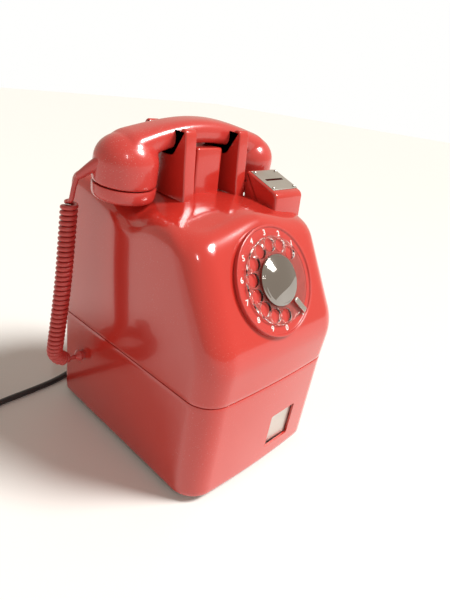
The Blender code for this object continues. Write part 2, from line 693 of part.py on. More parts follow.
def gear_outline(teeth):
    """Trapezoid teeth a little short of full height, so that the pair runs with play."""
    pitch = GEAR_MODULE * teeth / 2
    root, tip = pitch - 1.0 * GEAR_MODULE, pitch + 0.55 * GEAR_MODULE
    points = []
    for tooth in range(teeth):
        middle = 2 * math.pi * tooth / teeth
        step = 2 * math.pi / teeth
        for radius, part in ((root, -0.32), (tip, -0.11), (tip, 0.11), (root, 0.32)):
            points.append((radius * math.cos(middle + part * step), radius * math.sin(middle + part * step)))
    return points


def circle_outline(radius, steps=24):
    return [(radius * math.cos(2 * math.pi * i / steps), radius * math.sin(2 * math.pi * i / steps))
            for i in range(steps)]


def add_dial_mechanism():
    """Can behind the panel with the main gear, governor and return spring."""
    wall = 1.5 * MM
    profile = [(CAN_RADIUS, 0), (CAN_RADIUS, -CAN_DEPTH), (SHAFT_RADIUS + 2 * MM, -CAN_DEPTH),
               (SHAFT_RADIUS + 2 * MM, wall - CAN_DEPTH), (CAN_RADIUS - wall, wall - CAN_DEPTH),
               (CAN_RADIUS - wall, 0)]
    place("dial_can", turned_mesh("dial_can", profile, 28, True), STEEL, DIAL_FRAME)
    outlines = [gear_outline(GEAR_TEETH), circle_outline(SHAFT_RADIUS + GAP)]
    gear = outline_mesh("main_gear", outlines, GEAR_THICK)
    place("main_gear", gear, BRASS, DIAL_FRAME, (0, 0, -7 * MM))
    centres = GEAR_MODULE * (GEAR_TEETH + PINION_TEETH) / 2 + 0.15 * MM
    pinion = outline_mesh("governor_pinion", [gear_outline(PINION_TEETH)], GEAR_THICK + 2 * MM)
    half_tooth = math.pi / PINION_TEETH
    place("governor_pinion", pinion, BRASS, DIAL_FRAME, (-centres, 0, -7 * MM), (0, 0, half_tooth))
    drum, bore = 6.5 * MM, 5.2 * MM
    profile = [(drum, -11 * MM), (drum, -20 * MM), (bore, -20 * MM), (bore, -11 * MM)]
    place("governor_cup", turned_mesh("governor_cup", profile, 24, True), BRASS, DIAL_FRAME, (-centres, 0, 0))
    drum, bore = 11.5 * MM, SHAFT_RADIUS + RUNNING
    profile = [(drum, -10.5 * MM), (drum, -19 * MM), (bore, -19 * MM), (bore, -10.5 * MM)]
    place("return_spring_drum", turned_mesh("return_spring_drum", profile, 30, True), STEEL, DIAL_FRAME)
    contacts = box_mesh("pulse_contacts", (9 * MM, 14 * MM, 8 * MM), (21.5 * MM, 0, -15 * MM), 0.8 * MM, 1)
    place("pulse_contacts", contacts, BLACK_PLASTIC, DIAL_FRAME)


# ---------------------------------------------------------------- cradle and hook

def add_cradle():
    """Two forks that hold the handle, and the block between them."""
    low = 262 * MM
    front, rear = FORK_FRONT_Y, FORK_REAR_Y
    outline = [(front - 3.0 * MM, low), (front - 1.2 * MM, 300 * MM), (front, FRONT_PRONG_Z - 4 * MM),
               (front + 2 * MM, FRONT_PRONG_Z - 0.8 * MM), (front + 5 * MM, FRONT_PRONG_Z),
               (front + 9 * MM, FRONT_PRONG_Z - 1.5 * MM), (front + PRONG, FRONT_PRONG_Z - 6 * MM),
               (front + PRONG + 1.2 * MM, SADDLE_Z + 7 * MM), (front + PRONG + 4.5 * MM, SADDLE_Z + 1.2 * MM),
               (front + PRONG + 10 * MM, SADDLE_Z), (rear - PRONG - 10 * MM, SADDLE_Z + 1 * MM),
               (rear - PRONG - 4 * MM, SADDLE_Z + 3 * MM), (rear - PRONG - 0.5 * MM, SADDLE_Z + 10 * MM),
               (rear - PRONG + 1 * MM, REAR_PRONG_Z - 6 * MM), (rear - PRONG + 4 * MM, REAR_PRONG_Z - 1 * MM),
               (rear - 6 * MM, REAR_PRONG_Z), (rear - 2.5 * MM, REAR_PRONG_Z - 2 * MM),
               (rear - 0.5 * MM, REAR_PRONG_Z - 7 * MM), (rear + 3 * MM, low)]
    for side, x in (("left", -FORK_X), ("right", FORK_X)):
        name = f"cradle_fork_{side}"
        fork = place(name, outline_mesh(name, [outline], FORK_WIDTH, bevel=1.6 * MM), RED_PAINT,
                     location=(x, 0, 0), rotation=(math.pi / 2, 0, math.pi / 2))
        cut(fork, HOUSING, PLUNGER_HOLES[0 if x < 0 else 1])
    size = Vector((2 * BLOCK_HALF, BLOCK_BACK_Y - BLOCK_FRONT_Y, BLOCK_Z - low))
    middle = Vector((0, (BLOCK_BACK_Y + BLOCK_FRONT_Y) / 2, (BLOCK_Z + low) / 2))
    block = place("cradle_block", box_mesh("cradle_block", size, middle, 2.2 * MM, 3), RED_PAINT)
    cut(block, HOUSING)


def plunger_hole(x):
    mesh = cylinder_mesh("plunger_hole", PLUNGER_RADIUS + RUNNING, 250 * MM, 330 * MM, 20, (x, HANDSET_Y))
    return place("plunger_hole", mesh)


def handle_floor_z():
    """Height of the handle's underside over the saddles."""
    drop = HANDLE_ARCH * FORK_X ** 2
    return HANDLE_TOP_Z - 2 * HANDLE_HALF_Z - drop


def add_hook():
    """Plungers that the handset holds down, and the bar that works the hook switch."""
    top = handle_floor_z() - 0.8 * MM
    bar_high = 252 * MM
    for side, x in (("left", -FORK_X), ("right", FORK_X)):
        r = PLUNGER_RADIUS
        profile = [(0, top), (r * 0.5, top - 0.3 * MM), (r * 0.87, top - 1.2 * MM), (r, top - 2.4 * MM),
                   (r, bar_high + GAP), (0, bar_high + GAP)]
        plunger = turned_mesh("plunger", profile, 20)
        place(f"hook_plunger_{side}", plunger, BLACK_PLASTIC, location=(x, HANDSET_Y, 0))
    bar_size = (2 * FORK_X + 12 * MM, 9 * MM, 4 * MM)
    bar = box_mesh("hook_bar", bar_size, (0, HANDSET_Y, bar_high - 2 * MM), 1 * MM, 1)
    place("hook_bar", bar, STEEL)
    switch_size = (26 * MM, 22 * MM, 20 * MM)
    switch = box_mesh("hook_switch", switch_size, (0, HANDSET_Y, bar_high - 14.6 * MM), 1 * MM, 1)
    place("hook_switch", switch, BLACK_PLASTIC)


# ---------------------------------------------------------------- handset

def handle_mesh(name):
    """Arched bar of flattened oval section, lofted between its two ends."""
    bm = bmesh.new()
    reach = HANDSET_HALF - CUP_RADIUS
    rings = []
    for x in np.linspace(-reach, reach, 13):
        middle = -HANDLE_ARCH * x * x
        wide = HANDLE_HALF_Y * (1 + 0.12 * (x / reach) ** 2)
        tall = HANDLE_HALF_Z * (1 + 0.3 * (x / reach) ** 4)
        ring = []
        for turn in np.linspace(0, 2 * math.pi, 16, endpoint=False):
            c, s = math.cos(turn), math.sin(turn)
            y = math.copysign(abs(c) ** 0.72, c) * wide
            z = math.copysign(abs(s) ** 0.8, s) * tall
            ring.append(bm.verts.new((x, y * (1 - 0.1 * s), middle + z)))
        rings.append(ring)
    for a, b in zip(rings, rings[1:]):
        for i in range(len(a)):
            j = (i + 1) % len(a)
            bm.faces.new((a[i], a[j], b[j], b[i]))
    bm.faces.new(rings[0][::-1])
    bm.faces.new(rings[-1])
    bmesh.ops.recalc_face_normals(bm, faces=bm.faces)
    return bm_to_mesh(name, bm, 50)


def cup_heights():
    """Floor of the caps and top of the cups, in the handset's own frame."""
    floor = CUP_FLOOR_Z - HANDSET_MIDDLE.z
    return floor, floor + CAP_BAND, HANDLE_HALF_Z - HANDLE_ARCH * (HANDSET_HALF - CUP_RADIUS) ** 2


def add_handset():
    """Handle with two hollow cups, closed by screw-on caps over the two capsules."""
    floor, band, crown = cup_heights()
    handle = place("handset_handle", handle_mesh("handset_handle"), RED_PLASTIC, HANDSET_FRAME)
    middle_x = HANDSET_HALF - CUP_RADIUS
    r = CUP_RADIUS
    for side in (-1, 1):
        profile = [(0, crown)]
        for t in np.linspace(0.2, 1, 5):
            profile.append((r * math.sin(math.pi / 2 * t), crown - 24 * MM * (1 - math.cos(math.pi / 2 * t))))
        profile += [(r, band + GAP), (0, band + GAP)]
        cup = place(f"cup_form_{side}", turned_mesh("cup_form", profile, 28), frame=HANDSET_FRAME,
                    location=(side * middle_x, 0, 0))
        cut(handle, cup, operation="UNION")
    for side in (-1, 1):
        below, above = band - 5 * MM, band + 16 * MM
        hollow = cylinder_mesh("cup_hollow", r - CUP_WALL, below, above, 28, (side * middle_x, 0))
        cut(handle, place(f"cup_hollow_{side}", hollow, frame=HANDSET_FRAME))
    for name, side in (("earpiece", -1), ("mouthpiece", 1)):
        at = (side * middle_x, 0, 0)
        profile = [(r, band), (r, floor + 3.5 * MM), (r - 1.2 * MM, floor + 1 * MM), (r - 3.6 * MM, floor),
                   (r - 8 * MM, floor), (r - 12 * MM, floor + 1.4 * MM), (0, floor + 2.4 * MM),
                   (0, floor + 5.0 * MM),
                   (r - 4 * MM, floor + 5.0 * MM), (r - 3 * MM, band)]
        place(f"{name}_cap", turned_mesh(f"{name}_cap", profile, 28, True), RED_PLASTIC, HANDSET_FRAME, at)
        profile = [(0, band + 12 * MM), (r - 7 * MM, band + 12 * MM), (r - 7 * MM, floor + 5.4 * MM),
                   (0, floor + 5.4 * MM)]
        place(f"{name}_capsule", turned_mesh(f"{name}_capsule", profile, 24), STEEL, HANDSET_FRAME, at)
    trim = place("handset_outside", cylinder_mesh("handset_outside", r + GAP, floor - 5 * MM, crown, 28, (-middle_x, 0)),
                 frame=HANDSET_FRAME)
    boot = place("handset_boot", tube_mesh("handset_boot", smooth_route(BOOT_ROUTE, 4 * MM),
                                           (6.0 * MM, 5.2 * MM, 4.4 * MM, 3.4 * MM), 3), RED_VINYL)
    cut(boot, trim)


# ---------------------------------------------------------------- coin return

def add_coin_return():
    """Pocket behind the lower front with a flap hung on a pin along its top edge."""
    width, height = RETURN_SIZE
    inner_w, inner_h = width + 1 * MM, height + 1 * MM
    back = -(WALL + GAP)
    wall = 1.2 * MM
    outer_w, outer_h = inner_w + 2 * wall, inner_h + 2 * wall
    cup = box_mesh("coin_return_cup", (outer_w, outer_h, RETURN_DEPTH), (0, 0, back - RETURN_DEPTH / 2))
    cup = place("coin_return_cup", cup, STEEL, RETURN_FRAME)
    hollow = box_mesh("return_hollow", (inner_w, inner_h, RETURN_DEPTH), (0, 0, back - RETURN_DEPTH / 2 + wall))
    hollow = place("return_hollow", hollow, frame=RETURN_FRAME)
    cut(cup, hollow)
    pin_y = height / 2 - 3.5 * MM
    pin_z = back - 0.6 * MM - PIN_RADIUS
    pin = cylinder_mesh("coin_return_pin", PIN_RADIUS, -(inner_w / 2 - GAP), inner_w / 2 - GAP, 16)
    place("coin_return_pin", pin, STEEL, RETURN_FRAME, (0, pin_y, pin_z), (0, math.pi / 2, 0))
    flap_w, flap_h = width - 3 * MM, height - 3 * MM
    flap = box_mesh("coin_return_flap", (flap_w, flap_h, FLAP_THICK), (0, 0, 0), 0.4 * MM, 1)
    flap_z = pin_z + PIN_RADIUS + GAP + FLAP_THICK / 2
    flap = place("coin_return_flap", flap, ALUMINIUM, RETURN_FRAME, (0, 0, flap_z))


# ---------------------------------------------------------------- insides of the lower housing

def add_ringer():
    """Two gongs on posts with a clapper between them, driven by a coil."""
    x = -58 * MM
    crown, rim = 66 * MM, 53 * MM
    for side, y in (("front", 4.5 * MM), ("rear", 68.5 * MM)):
        r = 22 * MM
        outside = [(0, crown), (6 * MM, crown), (14 * MM, crown - 2 * MM),
                   (r - 2 * MM, crown - 6 * MM), (r, rim)]
        inside = [(r - 1.6 * MM, rim), (r - 3.6 * MM, crown - 7 * MM), (13 * MM, crown - 3.6 * MM),
                  (6 * MM, crown - 1.6 * MM), (0, crown - 1.6 * MM)]
        place(f"gong_{side}", turned_mesh("gong", outside + inside, 20), BRASS, location=(x, y, 0))
        post = cylinder_mesh("gong_post", 3 * MM, BASE_Z + BASE_THICK + GAP, crown - 1.6 * MM - GAP, 16)
        place(f"gong_post_{side}", post, STEEL, location=(x, y, 0))
    rod, ball, reach = 1.2 * MM, 3.6 * MM, 32 * MM
    swell = math.degrees(math.asin(rod / ball))
    profile = [(0, reach + ball), *arc((0, reach), ball, 65, -90 + swell, 6), (rod, 4 * MM), (3 * MM, 4 * MM),
               (3 * MM, 0), (0, 0)]
    clapper = turned_mesh("clapper", profile, 16)
    pivot = Vector((-28 * MM, 36.5 * MM, 60 * MM))
    place("clapper", clapper, STEEL, location=pivot, rotation=(0, -math.pi / 2, 0))
    frame = box_mesh("ringer_coil", (22 * MM, 30 * MM, 40 * MM), (pivot.x, pivot.y, 34 * MM), 2 * MM, 1)
    place("ringer_coil", frame, BLACK_PLASTIC)


def add_electrics():
    block = box_mesh("speech_network", (54 * MM, 40 * MM, 46 * MM), (-2 * MM, 88 * MM, 38 * MM), 2 * MM, 1)
    place("speech_network", block, BLACK_PLASTIC)
    chassis = box_mesh("chassis_plate", (78 * MM, 2 * MM, 200 * MM), (6 * MM, 64 * MM, 112 * MM))
    place("chassis_plate", chassis, STEEL)


def add_lock():
    """Cash lock in the back wall: a flanged barrel and the plug that the key turns."""
    wall_y = back_y(LOCK_Z)
    flange = LOCK_NECK + 3 * MM
    bore = LOCK_NECK - 2.6 * MM
    front = 0.5 * MM
    profile = [(bore, 1.2 * MM + front), (flange - 0.5 * MM, 1.2 * MM + front),
               (flange, 0.7 * MM + front), (flange, front),
               (LOCK_NECK, front), (LOCK_NECK, -18 * MM), (bore, -18 * MM)]
    place("lock_barrel", turned_mesh("lock_barrel", profile, 20, True), CHROME,
          location=(LOCK_X, wall_y, LOCK_Z), rotation=(-math.pi / 2, 0, 0))
    r = bore - 0.3 * MM
    plug = place("lock_plug", cylinder_mesh("lock_plug", r, -20 * MM, 0.9 * MM + front, 20), BRASS,
                 location=(LOCK_X, wall_y, LOCK_Z), rotation=(-math.pi / 2, 0, 0))
    key = place("keyway", box_mesh("keyway", (1.2 * MM, 6 * MM, 16 * MM), (0, 0, 4 * MM)),
                location=(LOCK_X, wall_y, LOCK_Z), rotation=(-math.pi / 2, 0, 0))
    cut(plug, key)


# ---------------------------------------------------------------- cords

def add_cords():
    """Curled handset cord on the left, black line cord behind, each with its end pieces."""
    grommet = [(2.6 * MM, 10.5 * MM), (3.4 * MM, 10.0 * MM), (6.6 * MM, 6.2 * MM), (7.0 * MM, 4.9 * MM),
               (INLET_NECK, 4.6 * MM), (INLET_NECK, -4 * MM), (2.6 * MM, -4 * MM)]
    place("cord_inlet", turned_mesh("cord_inlet", grommet, 16, True), RED_VINYL,
          location=INLET, rotation=(0, -math.pi / 2, 0))
    gland = [(0, 3.3 * MM), (4.2 * MM, 3.3 * MM), (7.0 * MM, 1.8 * MM), (7.0 * MM, 0.4 * MM),
             (GLAND_NECK, 0.1 * MM),
             (GLAND_NECK, -8 * MM), (0, -8 * MM)]
    place("line_gland", turned_mesh("line_gland", gland, 16), RUBBER,
          location=(LINE_EXIT.x, DEPTH / 2 - 0.1 * MM, LINE_EXIT.z), rotation=(-math.pi / 2, 0, 0))
    r = LINE_DIAMETER / 2
    place("line_cord", tube_mesh("line_cord", smooth_route(LINE_ROUTE, 14 * MM), (r, r)), BLACK_VINYL)
    inner, outer = COIL_RADIUS - COIL_HALF, COIL_RADIUS + COIL_HALF
    edge = 3 * MM
    profile = [(inner + edge, COIL_HEIGHT), (outer - edge, COIL_HEIGHT),
               (outer, COIL_HEIGHT - edge), (outer, edge),
               (outer - edge, 0.1 * MM), (inner + edge, 0.1 * MM), (inner, edge), (inner, COIL_HEIGHT - edge)]
    coil = turned_mesh("line_cord_coil", profile, 28, True)
    place("line_cord_coil", coil, BLACK_VINYL, location=COIL_MIDDLE)
    size = PLUG_SIZE
    aside = -COIL_RADIUS - size[0] / 2 - 4 * MM
    beside = COIL_MIDDLE + Vector((aside, COIL_RADIUS + 6 * MM, size[2] / 2 + 0.1 * MM))
    plug = box_mesh("line_plug", size, beside, 2.5 * MM, 2)
    place("line_plug", plug, BLACK_PLASTIC)
    r = STRAND_DIAMETER / 2
    place("handset_cord_upper", tube_mesh("handset_cord_upper", smooth_route(UPPER_TAIL_ROUTE, 8 * MM), (r, r), 2),
          RED_VINYL)
    r = CURL_DIAMETER / 2
    place("handset_cord", tube_mesh("handset_cord", smooth_route(CURL_ROUTE, 12 * MM), (r, r), 3), RED_VINYL)


SLOT_PASSAGE = slot_passage()
PLUNGER_HOLES = [plunger_hole(-FORK_X), plunger_hole(FORK_X)]
HOUSING = housing_outside()
add_housing()
add_base()
add_coin_head()
add_coin_path()
add_dial()
add_dial_mechanism()
add_cradle()
add_hook()
add_handset()
add_coin_return()
add_ringer()
add_electrics()
add_lock()
add_cords()
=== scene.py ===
import math

import bmesh
import bpy
import numpy as np
from mathutils import Matrix, Vector


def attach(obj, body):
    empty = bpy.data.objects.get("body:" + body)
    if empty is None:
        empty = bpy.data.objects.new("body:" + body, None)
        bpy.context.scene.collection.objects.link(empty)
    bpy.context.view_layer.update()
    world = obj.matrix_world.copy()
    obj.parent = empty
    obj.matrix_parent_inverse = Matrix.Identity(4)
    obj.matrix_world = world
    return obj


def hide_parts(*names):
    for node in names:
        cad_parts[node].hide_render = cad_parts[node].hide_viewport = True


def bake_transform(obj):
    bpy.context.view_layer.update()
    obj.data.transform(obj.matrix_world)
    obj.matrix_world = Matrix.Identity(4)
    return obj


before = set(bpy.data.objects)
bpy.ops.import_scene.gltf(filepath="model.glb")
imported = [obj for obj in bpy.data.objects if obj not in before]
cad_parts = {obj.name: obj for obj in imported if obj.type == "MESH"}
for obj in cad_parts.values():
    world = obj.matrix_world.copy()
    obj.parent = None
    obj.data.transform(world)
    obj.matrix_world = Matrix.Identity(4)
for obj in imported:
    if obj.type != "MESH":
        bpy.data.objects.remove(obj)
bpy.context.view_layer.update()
MM = 0.001
TAU = 2 * math.pi


# ------------------------------------------------------------------ camera, floor and light
# A hand-held view from the left of the dial, looking down on a pale counter.  Broad daylight
# comes from the right of the dial, and two lamps give the gloss its bright spots.

YAW, PITCH, ROLL = math.radians(48.54), math.radians(24.2), math.radians(7.08)
EYE = Vector((-343.72, -348.83, 378.61)) * MM
ahead = Vector((math.sin(YAW) * math.cos(PITCH), math.cos(YAW) * math.cos(PITCH), -math.sin(PITCH)))
level = Vector((math.cos(YAW), -math.sin(YAW), 0))
upward = level.cross(ahead)
camera_x = level * math.cos(ROLL) + upward * math.sin(ROLL)
camera_y = upward * math.cos(ROLL) - level * math.sin(ROLL)
camera = bpy.data.objects.new("camera", bpy.data.cameras.new("camera"))
bpy.context.scene.collection.objects.link(camera)
turn = Matrix((camera_x, camera_y, -ahead)).transposed()
camera.matrix_world = Matrix.Translation(EYE) @ turn.to_4x4()
camera.data.sensor_width = 36
camera.data.lens = 29.073
bpy.context.scene.camera = camera
bpy.context.scene.view_settings.view_transform = "Standard"


def simple_finish(name, colour, roughness, metallic=0.0):
    """A material whose colour and gloss are the same all over."""
    made = bpy.data.materials.new(name)
    made.use_nodes = True
    shader = made.node_tree.nodes["Principled BSDF"]
    shader.inputs["Base Color"].default_value = (*colour, 1)
    shader.inputs["Roughness"].default_value = roughness
    shader.inputs["Metallic"].default_value = metallic
    return made


def mesh_from(name, points, faces):
    made = bpy.data.meshes.new(name)
    made.from_pydata(np.asarray(points, float).reshape(-1, 3).tolist(), [], faces)
    made.update()
    return made


floor_half = 6.0
floor_mesh = mesh_from("counter", [(-floor_half, -floor_half, 0), (floor_half, -floor_half, 0),
                                   (floor_half, floor_half, 0), (-floor_half, floor_half, 0)], [(0, 1, 2, 3)])
counter = bpy.data.objects.new("counter", floor_mesh)
bpy.context.scene.collection.objects.link(counter)
floor_mesh.materials.append(simple_finish("counter_white", (0.90, 0.89, 0.86), 0.6))


def soft_lamp(name, spot, size, watts, aim, tint=(1, 1, 1)):
    lamp = bpy.data.objects.new(name, bpy.data.lights.new(name, "AREA"))
    bpy.context.scene.collection.objects.link(lamp)
    lamp.data.shape = "RECTANGLE"
    lamp.data.size, lamp.data.size_y = size
    lamp.data.energy = watts
    lamp.data.color = tint
    lamp.location = spot
    lamp.rotation_euler = (Vector(aim) - Vector(spot)).to_track_quat("-Z", "Y").to_euler()
    return lamp


soft_lamp("key_lamp", (0.75, -1.05, 1.25), (0.30, 0.30), 1.5, (0, 0, 0.15), (1, 0.985, 0.96))
soft_lamp("window", (-0.80, -1.15, 1.35), (0.07, 0.36), 3.0, (0, 0, 0.25))
daylight = bpy.data.objects.new("daylight", bpy.data.lights.new("daylight", "SUN"))
bpy.context.scene.collection.objects.link(daylight)
daylight.data.energy, daylight.data.angle = 3.8, math.radians(18)
daylight.data.color = (1, 0.99, 0.97)
daylight.rotation_euler = Vector((-0.44, 0.50, -0.74)).to_track_quat("-Z", "Y").to_euler()

world = bpy.data.worlds.new("room")
bpy.context.scene.world = world
world.use_nodes = True
sky = world.node_tree
background = sky.nodes["Background"]
paths = sky.nodes.new("ShaderNodeLightPath")
strength = sky.nodes.new("ShaderNodeMix")
strength.inputs[2].default_value = 0.30
strength.inputs[3].default_value = 0.66
sky.links.new(paths.outputs["Is Glossy Ray"], strength.inputs[0])
seen = sky.nodes.new("ShaderNodeMix")
seen.inputs[3].default_value = 1.0
sky.links.new(paths.outputs["Is Camera Ray"], seen.inputs[0])
sky.links.new(strength.outputs[0], seen.inputs[2])
sky.links.new(seen.outputs[0], background.inputs["Strength"])
tint = sky.nodes.new("ShaderNodeMix")
tint.data_type = "RGBA"
tint.inputs[6].default_value = (1.0, 0.87, 0.74, 1)
tint.inputs[7].default_value = (1.0, 1.0, 0.99, 1)
sky.links.new(paths.outputs["Is Camera Ray"], tint.inputs[0])
sky.links.new(tint.outputs[2], background.inputs["Color"])


# ------------------------------------------------------------------ line cord
# A round black vinyl lead of 7 mm that comes out low in the back, runs along the counter to the
# left and is put away as a coil of two layers, with a small four-pin plug beside it.

def surface(name, points, round_u=False, round_v=False, caps=False):
    """Quads over a grid of points P(v, u); a direction that is round joins its last row to its
    first, and caps close the first and last rows with one face each."""
    rows, columns = points.shape[:2]
    v = np.arange(rows if round_v else rows - 1)[:, None]
    u = np.arange(columns if round_u else columns - 1)[None, :]
    after_u, after_v = (u + 1) % columns, (v + 1) % rows
    quads = np.stack([v * columns + u, v * columns + after_u,
                      after_v * columns + after_u, after_v * columns + u], axis=-1).reshape(-1, 4).tolist()
    if caps:
        quads.append(list(range(columns))[::-1])
        quads.append(list(range((rows - 1) * columns, rows * columns)))
    return mesh_from(name, points, quads)


def smooth_line(knots, step):
    """Catmull-Rom: P(t) = (2b + (c-a)t + (2a-5b+4c-d)t^2 + (3b-a-3c+d)t^3) / 2 between b and c,
    then read again at even steps along its length.  Knots are in millimetres."""
    k = np.array(knots, float) * MM
    k = np.vstack([2 * k[0] - k[1], k, 2 * k[-1] - k[-2]])
    t = np.linspace(0, 1, 60, endpoint=False)[None, :, None]
    a, b, c, d = (k[i:len(k) - 3 + i][:, None] for i in range(4))
    square, cube = 2 * a - 5 * b + 4 * c - d, 3 * b - a - 3 * c + d
    fine = (2 * b + (c - a) * t + square * t ** 2 + cube * t ** 3) / 2
    return even_line(np.vstack([fine.reshape(-1, 3), k[-2]]), step)


def even_line(fine, step):
    """The same line read at even steps, by its running length."""
    run = np.concatenate([[0], np.cumsum(np.linalg.norm(np.diff(fine, axis=0), axis=1))])
    at = np.linspace(0, run[-1], max(4, int(run[-1] / step)))
    return np.stack([np.interp(at, run, fine[:, i]) for i in range(3)], axis=1)


def length_of(line):
    return float(np.linalg.norm(np.diff(line, axis=0), axis=1).sum())


def carried_frames(line):
    """Tangent T and two sides N, B at every point; N is carried along the line without twist."""
    tangent = np.gradient(line, axis=0)
    tangent /= np.linalg.norm(tangent, axis=1)[:, None]
    side = np.cross(tangent[0], (0.0, 0.0, 1.0))
    if np.linalg.norm(side) < 0.2:
        side = np.cross(tangent[0], (0.0, 1.0, 0.0))
    sides = []
    for t in tangent:
        side = side - t * (side @ t)
        side = side / np.linalg.norm(side)
        sides.append(side)
    sides = np.array(sides)
    return tangent, sides, np.cross(tangent, sides)


def tube(name, line, radius, around=12):
    """P(v, u) = L(v) + r(v) (cos u N + sin u B), with both ends closed."""
    _, side, other = carried_frames(line)
    angle = np.linspace(0, TAU, around, endpoint=False)[None, :, None]
    radius = np.broadcast_to(np.asarray(radius, float), (len(line),))[:, None, None]
    points = line[:, None] + radius * (np.cos(angle) * side[:, None] + np.sin(angle) * other[:, None])
    made = surface(name, points, round_u=True, caps=True)
    along = np.repeat(np.linspace(0, 1, len(line)), around)
    made.attributes.new("along", "FLOAT", "POINT").data.foreach_set("value", along.astype(np.float32))
    return made


def wear_group():
    """Node group: grain and dust shared by all finishes, on object coordinates.  Height is fine
    noise, Blotch is slow noise, Dust is where two noises are both high."""
    group = bpy.data.node_groups.new("grain_and_dust", "ShaderNodeTree")
    for name, value in (("Grain Scale", 400.0), ("Blotch Scale", 14.0), ("Dust", 0.3)):
        socket = group.interface.new_socket(name=name, in_out="INPUT", socket_type="NodeSocketFloat")
        socket.default_value = value
    for name in ("Height", "Blotch", "Dust Mask"):
        group.interface.new_socket(name=name, in_out="OUTPUT", socket_type="NodeSocketFloat")
    nodes, links = group.nodes, group.links
    given, gives = nodes.new("NodeGroupInput"), nodes.new("NodeGroupOutput")
    spot = nodes.new("ShaderNodeTexCoord").outputs["Object"]
    noises = []
    for socket, detail in ((given.outputs["Grain Scale"], 2.0), (given.outputs["Blotch Scale"], 4.0)):
        noise = nodes.new("ShaderNodeTexNoise")
        noise.inputs["Detail"].default_value = detail
        links.new(spot, noise.inputs["Vector"])
        links.new(socket, noise.inputs["Scale"])
        noises.append(noise.outputs["Fac"])
    specks = nodes.new("ShaderNodeTexNoise")
    specks.inputs["Scale"].default_value = 900.0
    specks.inputs["Detail"].default_value = 1.0
    links.new(spot, specks.inputs["Vector"])
    edge = nodes.new("ShaderNodeMapRange")
    edge.inputs["From Min"].default_value = 0.66
    edge.inputs["From Max"].default_value = 0.74
    links.new(specks.outputs["Fac"], edge.inputs["Value"])
    where = nodes.new("ShaderNodeMapRange")
    where.inputs["From Min"].default_value = 0.42
    where.inputs["From Max"].default_value = 0.72
    links.new(noises[1], where.inputs["Value"])
    both = nodes.new("ShaderNodeMath")
    both.operation = "MULTIPLY"
    links.new(edge.outputs["Result"], both.inputs[0])
    links.new(where.outputs["Result"], both.inputs[1])
    amount = nodes.new("ShaderNodeMath")
    amount.operation = "MULTIPLY"
    links.new(both.outputs[0], amount.inputs[0])
    links.new(given.outputs["Dust"], amount.inputs[1])
    links.new(noises[0], gives.inputs["Height"])
    links.new(noises[1], gives.inputs["Blotch"])
    links.new(amount.outputs[0], gives.inputs["Dust Mask"])
    return group


GRAIN_AND_DUST = wear_group()


def finish(name, colour, roughness, metallic=0.0, coat=0.0, grain=400.0, depth=0.02, spread=0.06,
           shade=0.12, dust=0.25, **sockets):
    """A finish with its own grain, slow changes of tone and gloss, and a little dust."""
    made = simple_finish(name, colour, roughness, metallic)
    nodes, links = made.node_tree.nodes, made.node_tree.links
    shader = nodes["Principled BSDF"]
    shader.inputs["Coat Weight"].default_value = coat
    shader.inputs["Coat Roughness"].default_value = 0.03
    for socket, value in sockets.items():
        shader.inputs[socket.replace("_", " ")].default_value = value
    wear = nodes.new("ShaderNodeGroup")
    wear.node_tree = GRAIN_AND_DUST
    wear.inputs["Grain Scale"].default_value = grain
    wear.inputs["Dust"].default_value = dust
    tone = nodes.new("ShaderNodeMix")
    tone.data_type = "RGBA"
    tone.inputs["A"].default_value = (*[c * (1 - shade) for c in colour], 1)
    tone.inputs["B"].default_value = (*[min(1, c * (1 + shade)) for c in colour], 1)
    links.new(wear.outputs["Blotch"], tone.inputs["Factor"])
    dusty = nodes.new("ShaderNodeMix")
    dusty.data_type = "RGBA"
    dusty.inputs["B"].default_value = (0.62, 0.56, 0.50, 1)
    links.new(wear.outputs["Dust Mask"], dusty.inputs["Factor"])
    links.new(tone.outputs["Result"], dusty.inputs["A"])
    links.new(dusty.outputs["Result"], shader.inputs["Base Color"])
    gloss = nodes.new("ShaderNodeMapRange")
    gloss.inputs["To Min"].default_value = max(0.02, roughness - spread)
    gloss.inputs["To Max"].default_value = min(1.0, roughness + spread)
    links.new(wear.outputs["Blotch"], gloss.inputs["Value"])
    links.new(gloss.outputs["Result"], shader.inputs["Roughness"])
    bump = nodes.new("ShaderNodeBump")
    bump.inputs["Strength"].default_value = 0.5
    bump.inputs["Distance"].default_value = depth * MM
    links.new(wear.outputs["Height"], bump.inputs["Height"])
    links.new(bump.outputs["Normal"], shader.inputs["Normal"])
    return made


MANY_CORNERS, LEAST_AGREEMENT = 12, 0.6


def piece(name, mesh, material, body, slot, *nodes, angle=35):
    """One finished piece: smooth but for its edges, riding on a body, standing for CAD nodes.  A
    face of many corners, or one whose corner normals lean far from its own, is left flat."""
    thing = bpy.data.objects.new(name, mesh)
    bpy.context.scene.collection.objects.link(thing)
    mesh.materials.append(material)
    mesh.shade_smooth()
    mesh.set_sharp_from_angle(angle=math.radians(angle))
    corners, facing = np.zeros(len(mesh.polygons), int), np.zeros(len(mesh.polygons) * 3)
    leaning = np.zeros(len(mesh.loops) * 3)
    mesh.polygons.foreach_get("loop_total", corners)
    mesh.polygons.foreach_get("normal", facing)
    mesh.corner_normals.foreach_get("vector", leaning)
    agree = (leaning.reshape(-1, 3) * np.repeat(facing.reshape(-1, 3), corners, axis=0)).sum(axis=1)
    worst = np.minimum.reduceat(agree, np.concatenate([[0], np.cumsum(corners)[:-1]]))
    mesh.polygons.foreach_set("use_smooth", (corners <= MANY_CORNERS) & (worst > LEAST_AGREEMENT))
    if body:
        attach(thing, body)
    if nodes:
        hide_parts(*nodes)
    return thing


def at(x, y, z=0.0):
    """The place at that point, given in millimetres."""
    return Matrix.Translation(Vector((x, y, z)) * MM)


